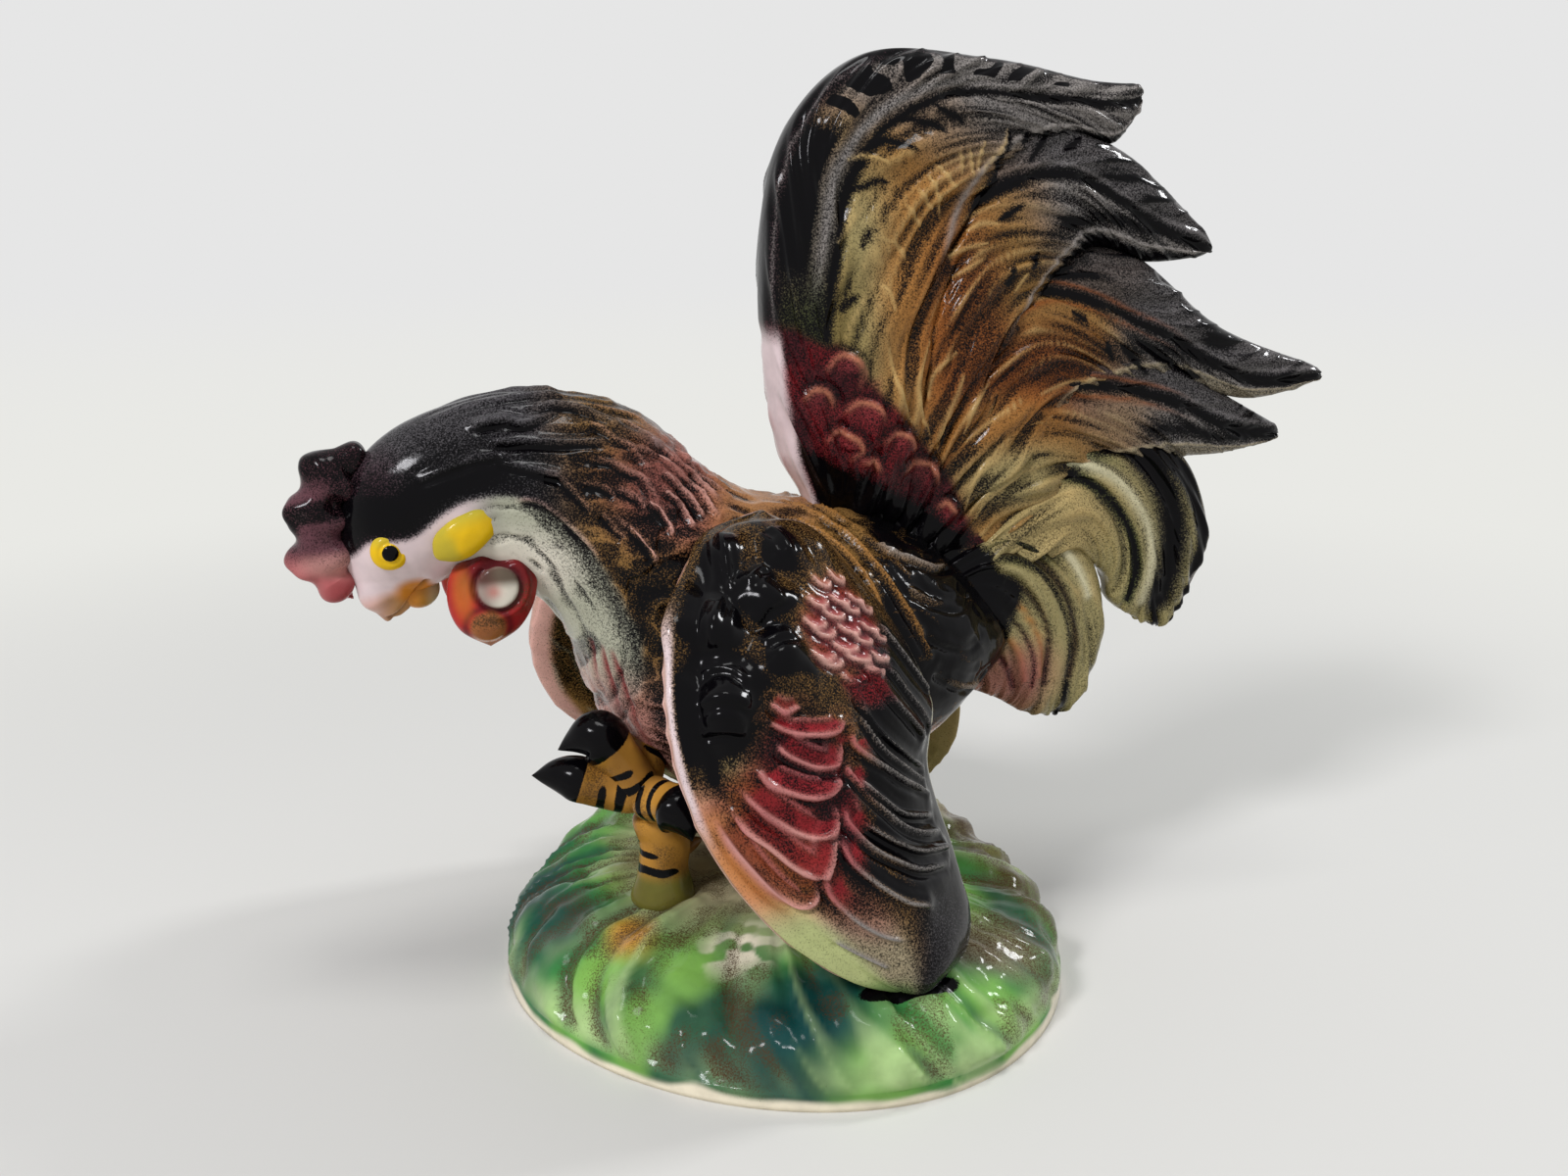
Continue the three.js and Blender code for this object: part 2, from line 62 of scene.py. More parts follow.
# From the beak's tip to the rump: back x, z, belly x, z, half width
TRUNK = [
    (-72, 49.5, -72, 49.5, 0),
    (-76, 54, -68.5, 52.5, 3),
    (-78.5, 60, -64.5, 55, 6),
    (-79, 68, -61, 57, 8.5),
    (-76.5, 76, -59, 58, 10),
    (-69, 83, -57, 57.5, 11),
    (-58, 87, -54, 55.5, 12),
    (-46, 88, -49.5, 54, 13.5),
    (-35, 87, -45, 51.5, 16),
    (-25, 82.5, -41, 45, 19),
    (-16, 74.5, -37.5, 34.5, 22.5),
    (-7, 69, -30, 22, 26),
    (5, 66.5, -14, 12, 28),
    (16, 64, 8, 12, 27),
    (27, 58, 23, 19, 22.5),
    (36, 50, 33, 27, 15.5),
    (42, 43, 40, 33, 8),
    (44, 37, 44, 37, 0),
]
# From the shoulder to the tip: front edge x, y, z, rear edge x, y, z
LEFT_WING = [
    (-9, -17, 69, -9, -17, 69),
    (-19, -21, 66, 2, -16, 63),
    (-27, -33, 60, 13, -22, 49),
    (-31, -43, 49, 19, -27, 36),
    (-31, -49, 38, 17, -32, 25),
    (-27, -53, 25, 19, -38, 13),
    (-17, -56, 10, 21, -44, 3),
    (-5, -57, 0, 18, -49, -3),
    (7, -54, -6, 7, -54, -6),
]
RIGHT_WING = [
    (-8, 20, 63, -8, 20, 63),
    (-22, 24, 61, 6, 21, 57),
    (-34, 31, 54, 20, 22, 46),
    (-41, 40, 39, 36, 24, 32),
    (-42, 45, 26, 45, 27, 18),
    (-36, 46, 14, 46, 29, 7),
    (-20, 45, 5, 43, 32, -1),
    (4, 42, -1, 38, 34, -5),
    (26, 36, -7, 26, 36, -7),
]
WING_THICKNESS = 6.0
WING_BULGE = 8.0
RIM_HEIGHT, RIM_SHARE, RIM_GROOVE_SHARE = 1.2, 0.035, 0.08
QUILLS, QUILL_HEIGHT = 4, 0.6
LUMP_HEIGHT, LUMP_RADIUS = 1.4, 4.5
ROW_HEIGHT, ROW_WIDTH = 1.0, 2.4
# From root to tip: outer edge x, z, inner edge x, z, half thickness, shaft's share of the width
TAIL = {
    "sickle": [
        (8, 60, 24, 60, 3, 0.2),
        (-1, 78, 26, 78, 10.5, 0.34),
        (-4.5, 104, 30, 98, 10, 0.37),
        (-1, 130, 36, 118, 8.5, 0.32),
        (14, 145, 46, 128, 6.5, 0.41),
        (38, 144.5, 54, 131, 5, 0.49),
        (57, 141, 62, 130, 3.5, 0.35),
        (68, 140.5, 67, 136, 1.5, 0.5),
    ],
    "second": [
        (12, 60, 30, 58, 3, 0.4),
        (18, 88, 38, 80, 9, 0.21),
        (29, 118, 46, 98, 8.2, 0.08),
        (45, 132.5, 57, 111, 6.8, 0.36),
        (63, 129, 70, 108.5, 4.8, 0.6),
        (84, 112, 83, 109.5, 1.5, 0.7),
    ],
    "third": [
        (16, 58, 34, 54, 3, 0.35),
        (26, 80, 46, 68, 7.8, 0.11),
        (42, 106, 56, 82, 7.2, 0.12),
        (64, 111, 74, 86, 6, 0.58),
        (86, 96, 93, 82, 4.2, 0.68),
        (109, 87.5, 109, 85, 1.5, 0.7),
    ],
    "fourth": [
        (20, 56, 36, 50, 3, 0.29),
        (32, 76, 50, 60, 6.6, 0.07),
        (48, 95, 60, 68, 6.2, 0.32),
        (70, 93, 76, 71, 5.4, 0.43),
        (88, 83, 88, 71.5, 4, 0.53),
        (101, 76, 100, 73.5, 1.5, 0.6),
    ],
    "curl": [
        (24, 52, 34, 44, 3, 0.4),
        (40, 64, 46, 50, 6.4, 0.1),
        (60, 77, 56, 53, 6.6, 0.24),
        (78, 73, 64, 49, 6, 0.56),
        (86, 55, 66, 43, 5, 0.64),
        (79, 37, 74, 38, 2, 0.7),
    ],
    "lower_curl": [
        (22, 48, 20, 40, 3, 0.4),
        (40, 60, 27, 34, 7.6, 0.18),
        (57, 57, 34, 29, 7.6, 0.29),
        (64, 43, 42, 25.5, 6.6, 0.4),
        (62, 28, 48, 22, 5.5, 0.5),
        (57, 20.5, 53, 21, 2, 0.5),
    ],
}
BARB_SPACING, BARB_SWEEP, BARB_HEIGHT, CURL_BANDS = 13.0, 2.7, 0.6, 3
SHAFT_GROOVE, SHAFT_SHARE, FULL_FEATHER = 0.9, 0.09, 6.0
# From the crown to the beak: x, z, half height across the crest
COMB = [
    (-73, 77, 0),
    (-77.5, 77.5, 4),
    (-81.5, 72, 5),
    (-82.5, 65, 5.2),
    (-81, 58, 4.4),
    (-77.5, 53.5, 0),
]
COMB_THICKNESS, COMB_LOBES, COMB_LOBE_DEPTH = 8.0, 5, 1.2
# From the cheek down, on the left: x, y, z, half length
WATTLE = [
    (-55, -7, 62, 0),
    (-54, -8, 60, 6.6),
    (-54.5, -8.5, 54.5, 7.6),
    (-55, -8.5, 49, 5.2),
    (-55, -8, 45.5, 0),
]
WATTLE_THICKNESS = 8.0
# Leg and toe paths: x, y, z, radius
LEFT_SHANK = [
    (-27, -16, -4, 0),
    (-27, -16, -2, 5.5),
    (-27, -16, 4, 4.6),
    (-26.8, -16, 10, 4.6),
    (-28, -16.5, 15, 3.9),
    (-28.6, -16.8, 16.5, 0),
]
LEFT_SPUR = [(-26, -15.5, 6.5, 0), (-23.5, -15, 7, 1.7), (-19, -14, 8, 0)]
LEFT_TOES = {
    "toe_raised": [
        (-29, -16, 16, 0),
        (-31, -17.5, 20, 3.9),
        (-34.5, -17.5, 26, 3.9),
        (-39, -17, 30.5, 4.3),
        (-45, -15.5, 28, 0),
    ],
    "toe_forward": [
        (-29, -15, 17, 0),
        (-32, -17, 19.5, 3.9),
        (-39, -16, 21.5, 3.9),
        (-43.5, -15, 22.8, 3.9),
        (-49.5, -13.5, 23, 0),
    ],
    "toe_outer": [
        (-31, -14, 17, 0),
        (-29.5, -19, 19, 3.9),
        (-27, -24, 19.5, 3.9),
        (-25.5, -28, 18.5, 4.3),
        (-24.5, -31, 15, 0),
    ],
    "foot_root": [
        (-25, -4, 30, 0),
        (-28, -9, 26, 4.3),
        (-31, -15, 21, 3.9),
        (-32, -17, 19, 0),
    ],
}
RIGHT_SHANK = [
    (8, 14, -4, 0),
    (8, 14, -2, 5.5),
    (8, 14, 5, 4.6),
    (7, 13, 11, 5.5),
    (5, 11, 18, 9.2),
    (4, 10, 24, 0),
]
RIGHT_TOE_ROOT = (8, 14)
RIGHT_TOE_TIPS = [(-6, 8), (-8, 16), (-3, 23)]

mound_low, mound_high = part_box("base_mound")
SHIFT = np.array([
    (mound_low.x + mound_high.x) / 2 / MM - MOUND_CENTRE[0],
    (mound_low.y + mound_high.y) / 2 / MM - MOUND_CENTRE[1],
    MOUND_TOP,
])

# Feather lines on the cast
# Hackle ridges down the left of the neck, mirrored on the right: x, side, z
HACKLE_LINES = [
    [(-49.8, 13, 72.3), (-46.8, 13.7, 72), (-44.4, 14.5, 70.6), (-40.6, 15.9, 67), (-36.9, 17.5, 62.5)],
    [(-45.3, 13.2, 76.3), (-42.6, 14, 75.6), (-40.3, 15.2, 73.3), (-37.8, 16.5, 70.2)],
    [(-39.3, 15, 74.8), (-36.6, 15.5, 74.6), (-34.6, 16.2, 73.6), (-33.6, 16.8, 72.4)],
    [(-37.5, 13.5, 78.8), (-34.1, 14, 78), (-30.9, 14.9, 76.2), (-28.9, 15.2, 75.3), (-26.7, 16.9, 71.6)],
    [(-33.9, 16, 74.2), (-31.2, 16.7, 72.8), (-29.6, 17.2, 71.8), (-28.8, 17.9, 70)],
    [(-37.1, 9.1, 84), (-34.8, 9.8, 83.1), (-32.5, 11.2, 81.2), (-30, 11.8, 79.9), (-27.5, 14.2, 76.1)],
    [(-29.8, 11.6, 79.9), (-26.6, 11.2, 78.9), (-21, 11.8, 74.2), (-18.3, 11.7, 72.1), (-15.6, 14.6, 67.9)],
    [(-28.6, 17.1, 71.7), (-26.5, 17.5, 70.3), (-25.1, 18.4, 67.9), (-24.6, 19.3, 65.9)],
    [(-25.6, 15.5, 73.3), (-22.8, 15.7, 71.2), (-21.5, 16.6, 69.1), (-20.6, 17.9, 66.7)],
    [(-25.6, 13.6, 75.9), (-22.7, 13.6, 73.8), (-19.9, 14.2, 71), (-18.1, 15.9, 68.1)],
    [(-32.4, 6.4, 84.7), (-28.1, 8, 82.1), (-23.4, 9.4, 78.1), (-18.3, 9.1, 73.9), (-14.7, 11.1, 70.1)],
    [(-34.3, 17.6, 69.4), (-31.5, 18.7, 67.3), (-29.1, 19.7, 64.7), (-27.6, 20.8, 61.7)],
    [(-36.3, 17, 70), (-34.5, 17.8, 68.1), (-32.6, 18.7, 66)],
    [(-36.3, 5.2, 86.2), (-32, 4.8, 85.2), (-27.3, 4.1, 83.3), (-21.3, 6.4, 78), (-12.1, 8.1, 70)],
]
# Long glossy folds over the crown and nape
NAPE_LINES = [
    [(-56.6, 7.4, 83.9), (-51.4, 7.5, 84.7), (-47.1, 8.5, 84.1), (-41.3, 6.2, 86.2)],
    [(-53.8, 9.8, 81.4), (-47.8, 10.4, 81.5), (-41.5, 11.6, 81.2), (-34.1, 11.7, 81)],
    [(-52.7, 11.2, 78.7), (-47.7, 12.4, 77.3), (-42.1, 14, 75.9)],
    [(-64, 3, 83), (-57, 3, 86), (-49, 3.4, 87.3), (-40, 2.6, 88)],
    [(-66, 8.6, 75), (-61, 9.6, 77.2), (-56, 10.2, 78.8), (-50, 10.8, 79.4)],
    [(-46, 6, 86.4), (-39, 6.6, 86.2), (-31, 8.4, 82.6), (-24, 9.6, 78.6)],
]
# Saddle feathers over the back
SADDLE_LINES = [
    [(-0.7, 2.4, 67.4), (6.3, 10.3, 64.2), (11.5, 17.4, 59), (16.2, 22.5, 51.3), (20.4, 24.3, 42.5)],
    [(-4, 8, 67.5), (2.5, 12.5, 63.9), (7.6, 17.8, 59.4), (10.1, 21.6, 55.1), (11.9, 25, 48.7)],
    [(4, 3, 67), (10.5, 10, 63), (16, 16, 58), (21, 20, 50)],
    [(-8, 11, 68), (-1, 16, 63), (4, 21, 58), (7, 24.5, 53)],
]
# Raised edges of the rump feathers
RUMP_LINES = [
    [(13, 14, 61), (19, 14.5, 58.5), (25, 13, 56), (29, 9, 55.5)],
    [(17, 20, 54), (23, 19, 50.5), (28, 16, 48.5), (31, 11.5, 50.5)],
    [(18.5, 23, 47), (24, 21.5, 43.5), (29, 18, 41.5), (32.5, 14, 43.5)],
    [(20.5, 23.5, 39.5), (26, 21, 36), (31, 17, 34), (35, 12, 35.5)],
]
# Crimson grooves down the chest
CHEST_LINES = [
    [(-38.5, 12, 46), (-36, 11, 39), (-32.5, 9, 31), (-28.5, 7, 24)],
    [(-37, 15, 45.5), (-34.5, 14, 38), (-31, 12.5, 30), (-26.5, 10, 22)],
    [(-35.5, 17, 45), (-32.5, 16.5, 37.5), (-29.5, 15.5, 30), (-25, 13.5, 22)],
    [(-38, 8.5, 42), (-35, 7, 34), (-31, 4.5, 26)],
]
# Where the dark crown and hackle end above the pale face and throat: x, z
BROW = [
    (-86, 58), (-78, 62), (-74, 65.6), (-67.4, 66.4), (-62.4, 70.2), (-57.5, 72.6), (-51, 73.2),
    (-46, 71.4), (-42, 68.4), (-38.5, 64.5), (-36, 60), (-33, 55), (-31, 50), (-30, 45), (-31, 38), (-33, 20),
]

# Wing relief as shares of its width and its length
SCALLOPS = [
    [(0.254, 0.421), (0.299, 0.435), (0.34, 0.425)],
    [(0.248, 0.451), (0.304, 0.469), (0.388, 0.473), (0.456, 0.465), (0.481, 0.443)],
    [(0.265, 0.489), (0.287, 0.507), (0.364, 0.527), (0.425, 0.527), (0.456, 0.517), (0.475, 0.479)],
    [
        (0.201, 0.527), (0.201, 0.543), (0.237, 0.559), (0.31, 0.573), (0.376, 0.571), (0.419, 0.557),
        (0.431, 0.541),
    ],
    [
        (0.136, 0.561), (0.153, 0.583), (0.201, 0.607), (0.254, 0.629), (0.31, 0.635), (0.357, 0.627),
        (0.394, 0.605), (0.388, 0.587),
    ],
    [
        (0.088, 0.591), (0.111, 0.623), (0.144, 0.645), (0.181, 0.673), (0.232, 0.689), (0.281, 0.679),
        (0.334, 0.651), (0.357, 0.633),
    ],
    [
        (0.037, 0.603), (0.042, 0.641), (0.053, 0.673), (0.071, 0.705), (0.103, 0.725), (0.149, 0.727),
        (0.196, 0.715), (0.216, 0.699),
    ],
]
SCALLOP_DEPTHS = (1.9, 2.5, 3.1, 3.3, 3.6, 3.6, 3)
SCALLOP_STRENGTHS = (0.8, 1, 1, 1, 0.9, 0.75, 0.4)
FLIGHT_LINES = [
    [(0.513, 0.463), (0.519, 0.489), (0.575, 0.511), (0.643, 0.527), (0.73, 0.543), (0.864, 0.555)],
    [
        (0.481, 0.519), (0.487, 0.541), (0.531, 0.567), (0.581, 0.589), (0.655, 0.613), (0.773, 0.623),
        (0.885, 0.615),
    ],
    [
        (0.431, 0.587), (0.425, 0.609), (0.444, 0.631), (0.487, 0.653), (0.563, 0.671), (0.672, 0.683),
        (0.869, 0.669),
    ],
    [(0.376, 0.635), (0.364, 0.663), (0.388, 0.687), (0.444, 0.715), (0.513, 0.737), (0.62, 0.745)],
    [(0.27, 0.679), (0.237, 0.713), (0.254, 0.743), (0.281, 0.774), (0.328, 0.8), (0.4, 0.815)],
]
# The shoulder's patch of small scales: its rows, the steps along each, and one scale from its own start
PATCH_ROWS, PATCH_STEPS = 7, 4
SCALE_LINE = [(0, -0.004), (0.03, 0.006), (0.075, 0.007), (0.1, -0.004)]
PRIMARY_LINES = [
    [(0.784, 0.285), (0.873, 0.329), (0.98, 0.371)],
    [(0.666, 0.335), (0.799, 0.385), (0.98, 0.439)],
    [(0.6, 0.351), (0.684, 0.401), (0.881, 0.455)],
    [(0.54, 0.391), (0.636, 0.455), (0.794, 0.497), (0.93, 0.51)],
    [(0.555, 0.43), (0.64, 0.488), (0.76, 0.518), (0.9, 0.535)],
    [(0.52, 0.545), (0.6, 0.57), (0.7, 0.592), (0.88, 0.588)],
    [(0.49, 0.615), (0.58, 0.642), (0.7, 0.655), (0.9, 0.64)],
    [(0.13, 0.79), (0.17, 0.83), (0.23, 0.865)],
]
SHOULDER_LUMPS = [
    (0.13, 0.2), (0.28, 0.27), (0.12, 0.32), (0.3, 0.36), (0.13, 0.43), (0.42, 0.21), (0.62, 0.19),
]
SHOULDER_FOLDS = [
    [(0.119, 0.17), (0.15, 0.215), (0.167, 0.262)],
    [(0.136, 0.28), (0.12, 0.31), (0.118, 0.345)],
    [(0.225, 0.262), (0.262, 0.24), (0.3, 0.236)],
    [(0.243, 0.312), (0.275, 0.292), (0.33, 0.28)],
    [(0.25, 0.345), (0.292, 0.335), (0.34, 0.33)],
    [(0.08, 0.385), (0.11, 0.372), (0.16, 0.378), (0.19, 0.4)],
    [(0.08, 0.43), (0.13, 0.42), (0.19, 0.43)],
    [(0.06, 0.47), (0.12, 0.462), (0.18, 0.47)],
    [(0.36, 0.165), (0.39, 0.19), (0.4, 0.22)],
]
FEATHER_ROWS = [
    [(0.25, 0.45), (0.38, 0.475), (0.5, 0.46), (0.64, 0.527), (0.86, 0.555)],
    [(0.2, 0.54), (0.31, 0.573), (0.43, 0.555), (0.53, 0.6), (0.66, 0.65), (0.87, 0.64)],
    [(0.09, 0.6), (0.14, 0.645), (0.23, 0.689), (0.36, 0.635), (0.45, 0.715), (0.6, 0.74)],
    [(0.6, 0.351), (0.7, 0.405), (0.88, 0.455)],
]

# Brushed on the tail, in the side view: black strokes of painted shade in its grooves, pale strokes, and the
# arcs of the coverts at its root
TAIL_SHADE_STROKES = [
    [(18.9, 133.8), (22, 133.9), (25.4, 133.2), (27.5, 131.8)],
    [(13.6, 129.4), (15.6, 130.4), (18, 130.4), (21.8, 128.8)],
    [(25.7, 136.1), (28.1, 134.9), (30.9, 133.6)],
    [(10, 121.9), (12.3, 123), (14.4, 123.8), (16.1, 123.6)],
    [(7.8, 101.7), (9.5, 103.3), (11, 104.2)],
    [(11.4, 112.6), (12.4, 114.8), (13.4, 115.7)],
    [(40.1, 132.1), (39.1, 129.9), (37.8, 127.3), (37.3, 125.4)],
    [(43.9, 132.1), (42.4, 130)],
    [(47.6, 132.3), (45.6, 129.7), (43.6, 126.7)],
    [(54.1, 131), (50.4, 128.8)],
    [(37.4, 117), (39.9, 118.2), (42.3, 119.6)],
    [(49, 117.2), (52.9, 116.3), (56.8, 115.8)],
    [(59.7, 117.1), (62.8, 115.3)],
    [(60, 94.6), (61.1, 91)],
    [(63, 94), (66.2, 90.8), (69.5, 87.9)],
    [(68.2, 92.9), (74.5, 89.5), (80.7, 86.5)],
    [(40.2, 108.6), (39.4, 105.1)],
    [(45.4, 111.1), (44.1, 108.4)],
    [(52.7, 100.3), (55.8, 98.4)],
]
TAIL_PALE = [
    [(29.7, 128.9), (30.2, 127.4), (30.1, 125.1)],
    [(31.6, 129.2), (32, 127.3), (32.4, 124.4)],
    [(25.4, 126.4), (27, 124.8), (28.6, 122.6)],
    [(23.6, 124.8), (25, 122.3), (26.5, 117.5)],
    [(21.5, 122.6), (23, 120.7), (24.2, 118.8)],
    [(19.5, 119.8), (21, 117.9), (22.4, 115.9)],
    [(34.5, 130.5), (33.7, 128), (33.4, 125.4)],
    [(39.5, 132.6), (38.4, 129.9), (36.7, 128), (34, 124.8)],
    [(9.2, 127.4), (12.6, 128), (16, 127.1)],
    [(15.9, 114.1), (14.2, 111.6), (12.9, 108.1)],
    [(16.2, 114.1), (18.3, 112.5), (19.7, 110.2)],
    [(14.3, 106.4), (16.4, 105.1), (17.5, 101.5)],
    [(6.7, 113), (9.4, 116.1), (11.4, 119.3)],
    [(31.5, 114.8), (34.3, 116.3), (37.6, 116.2)],
    [(28.3, 110.5), (31.6, 112.2), (35.3, 113)],
    [(28.9, 107), (32.1, 108.7), (34.9, 110.4)],
    [(40.9, 104.1), (42.7, 106.8), (43.6, 107.2)],
    [(32.1, 77.3), (35.9, 80.4), (39.3, 82.5), (43.1, 84.7)],
    [(46.5, 85.5), (50.4, 86.7), (54.3, 87.5), (60.3, 87.7)],
    [(26.8, 76.5), (27.6, 81.1), (29.7, 86.3), (30.7, 90.5)],
    [(21.4, 81.3), (19.1, 85.7), (17.3, 91), (16.1, 96.2)],
    [(33.2, 63.4), (33.9, 68.8), (36.9, 73.6), (40.8, 77.8)],
    [(25.3, 79), (23, 83.4), (22.1, 88.7), (24.4, 96)],
    [(35, 61.6), (36.6, 65.4), (40.5, 68.5), (44.5, 71.6)],
    [(31.6, 78.8), (33.1, 83.5), (36.4, 88.2)],
    [(30, 94.2), (25.6, 90.2), (24.6, 85.5)],
]
COVERT_ARCS = [
    [(5.1, 91.9), (6.9, 93.9), (9.6, 93.9), (11.6, 91.7), (11.3, 88.6)],
    [(8.7, 84), (10.8, 85.7), (14.1, 85.1), (15.8, 82.6)],
    [(16.1, 78.4), (18.1, 79.9), (20.9, 79), (22.3, 76.5)],
    [(20.7, 72.2), (22.9, 74), (26.1, 73.1), (27.6, 69.7)],
    [(5.2, 79.4), (7.6, 80.6), (10.3, 79.4), (11.7, 77), (9.8, 75.5)],
    [(28, 64.8), (29.7, 65.8), (31.5, 63.5)],
    [(12, 74.8), (14.3, 75), (15.4, 73.1)],
    [(1.2, 86.5), (3, 88.2), (5.4, 87.6), (6.6, 85.2)],
]
COVERT_TOP = [
    (-8, 101), (-1.6, 98.8), (3.2, 96.9), (9.3, 95), (13.3, 88.7), (19.1, 82.1), (25.9, 75.3),
    (31.4, 67.2), (36, 60),
]
COVERT_FOOT = [
    (-8, 84), (0.5, 79.5), (4, 76), (8, 73.5), (14.4, 71), (20, 67.5), (26, 64.5), (33, 60), (38, 54),
]
CURL_CREAM = [
    (41.2, 66.2), (45.7, 70.9), (52.1, 72.3), (57.5, 71.5), (64.3, 67.8), (70.2, 60.1), (72.2, 53),
    (71.3, 43.7),
]
CURL_DARK = [(45.2, 69), (49.8, 70), (55.8, 69.1), (62, 65.1), (67.3, 57.9), (69.4, 50.2), (68.4, 44.3)]
CURL_BLACK = [(59, 77), (66.3, 74), (72.7, 68), (75.9, 61), (76.6, 53), (75.3, 44.1)]
CURL_BRUSHED = [
    (CURL_CREAM, 1.1, "cream", 0.1),
    (CURL_DARK, 1, "moss", 0.97),
    (CURL_BLACK, 3, "charcoal", 1),
]
LOWER_LINES = [
    ("cream", 0.9, [
        (36.2, 58.1), (39.1, 60.2), (43.2, 61.2), (47.9, 60), (52.8, 56.5), (56.7, 51.2),
        (58.7, 46.1),
    ]),
    ("umber", 0.8, [(39.5, 55.8), (44.5, 55.6), (50.3, 51.6), (54.6, 45.1), (56.4, 37.1), (55.6, 29.9)]),
    ("sage", 1, [(40.5, 52.8), (46, 51.4), (51.3, 45.3), (53.8, 38.1), (53.2, 30.6)]),
    ("umber", 0.6, [(41.8, 50.3), (46.3, 47.3), (50.2, 40.7), (50.9, 34.9), (50.6, 29)]),
    ("tan", 0.7, [(42, 47), (45.5, 43.9), (48.6, 37.7), (49, 31)]),
    ("umber", 0.5, [(42.7, 42.9), (45.2, 39.8), (47.4, 34.2), (47.6, 28.8)]),
    ("tan", 0.7, [(42.2, 38.9), (44.4, 35.8), (46.1, 30.4)]),
    ("maroon", 0.6, [(39.5, 36.6), (42.2, 33.2), (44.4, 28.3)]),
]
RUMP_EDGE = [
    (31, 61), (35.1, 57.7), (41.1, 52.2), (44.5, 47.9), (42.2, 42.3), (40.7, 37.2), (34.5, 33.2),
    (31.4, 28.8),
]


# Helpers
def between(rows, at):
    """Smooth values between a table's rows, in every column; at runs from 0 to 1."""
    rows = np.asarray(rows, float)
    last = len(rows) - 1
    span = np.clip(np.asarray(at, float), 0, 1) * last
    first = np.minimum(span.astype(int), last - 1)
    part = (span - first)[..., None]
    before, here, after, beyond = (rows[np.clip(first + step, 0, last)] for step in (-1, 0, 1, 2))
    bend = 3 * (here - after) + beyond - before
    curve = 2 * before - 5 * here + 4 * after - beyond + part * bend
    return here + 0.5 * part * (after - before + part * curve)


def heading(rows, at):
    """Which way a table's columns change as at grows."""
    return between(rows, np.minimum(at + STEP, 1)) - between(rows, np.maximum(at - STEP, 0))


def unit(ways):
    """Each row's direction at length 1."""
    return ways / np.maximum(np.linalg.norm(ways, axis=1, keepdims=True), 1e-9)


def squared(wave, power):
    """The wave's size raised to a power, with its own sign."""
    return np.sign(wave) * np.abs(wave) ** power


def ramp(low, high, value):
    """0 below low, 1 above high, with a soft way between."""
    share = np.clip((value - low) / (high - low), 0, 1)
    return share * share * (3 - 2 * share)


def fall(low, high, value):
    """1 below low, 0 above high, with a soft way between."""
    return 1 - ramp(low, high, value)


def bell(value, width):
    """1 where the value is 0, dying away over the width on both sides."""
    return np.exp(-((value / width) ** 2))


def spot(across, along, centre, reach, soft=0.6):
    """1 in an oval of the glaze, fading to 0 round its edge."""
    far = np.hypot((across - centre[0]) / reach[0], (along - centre[1]) / reach[1])
    return fall(1 - soft, 1 + soft, far)


def mottle(points, size, seed=0):
    """Smooth random values from -1 to 1, in patches of the given size."""
    place = (points / size + 31.7 * (seed + 1)).T
    cell = np.floor(place)
    part = place - cell
    part = part * part * (3 - 2 * part)
    total = 0
    for corner in itertools.product((0, 1), repeat=len(place)):
        weight, key = 1, 0
        for side, start, share, step in zip(corner, cell, part, (12.9898, 78.233, 37.719)):
            weight = weight * (share if side else 1 - share)
            key = key + (start + side) * step
        key = np.sin(key) * 43758.5453
        total = total + weight * (key - np.floor(key))
    return 2 * total - 1


def grain(along, across, seed=0):
    """Smooth random streaks: along and across are counted in streak lengths and widths."""
    return mottle(np.stack([along, across], 1), 1.0, seed)


def near_line(points, line, reach=6.0):
    """Distance of each point to a bent line, how far it lies below it, and its share along it."""
    fine = between(line, np.linspace(0, 1, max(24, len(line))))
    low, high = fine.min(0) - reach, fine.max(0) + reach
    close = np.flatnonzero(np.all((points > low) & (points < high), axis=1))
    far, below, share = np.full(len(points), 99.0), np.zeros(len(points)), np.zeros(len(points))
    some = points[close]
    best, under, along = far[close], below[close], share[close]
    for number, (start, end) in enumerate(zip(fine[:-1], fine[1:])):
        way = end - start
        at = np.clip((some - start) @ way / max(way @ way, 1e-9), 0, 1)
        gap = start + at[:, None] * way - some
        distance = np.sqrt((gap * gap).sum(1))
        closer = distance < best
        best[closer], under[closer] = distance[closer], gap[closer, -1]
        along[closer] = (number + at[closer]) / (len(fine) - 1)
    far[close], below[close], share[close] = best, under, along
    return far, below, share


def past_line(x, z, line):
    """Signed distance to a line in the side view, positive above it or behind it."""
    fine = between(line, np.linspace(0, 1, 6 * len(line)))
    points = np.stack([x, z], 1)
    far, signed = np.full(len(x), 1e9), np.zeros(len(x))
    for start, end in zip(fine[:-1], fine[1:]):
        way = end - start
        at = np.clip((points - start) @ way / (way @ way), 0, 1)
        gap = points - (start + at[:, None] * way)
        distance = np.linalg.norm(gap, axis=1)
        side = way[0] * gap[:, 1] - way[1] * gap[:, 0]
        signed = np.where(distance < far, np.sign(side) * distance, signed)
        far = np.minimum(far, distance)
    return signed


def faded_ends(share):
    """1 along a feather's edge, fading to 0 at both ends."""
    return np.clip(np.sin(math.pi * np.clip(share, 0.02, 0.98)) * 3, 0, 1)


def in_side_view(line):
    """Points of a line given as x, z, set on the bird's middle plane."""
    return [(x, 0, z) for x, z in line]


def glaze_colour(code):
    """Linear colour of a six-figure colour code."""
    values = np.array([int(code[k:k + 2], 16) / 255 for k in (0, 2, 4)])
    return np.where(values < 0.04045, values / 12.92, ((values + 0.055) / 1.055) ** 2.4)


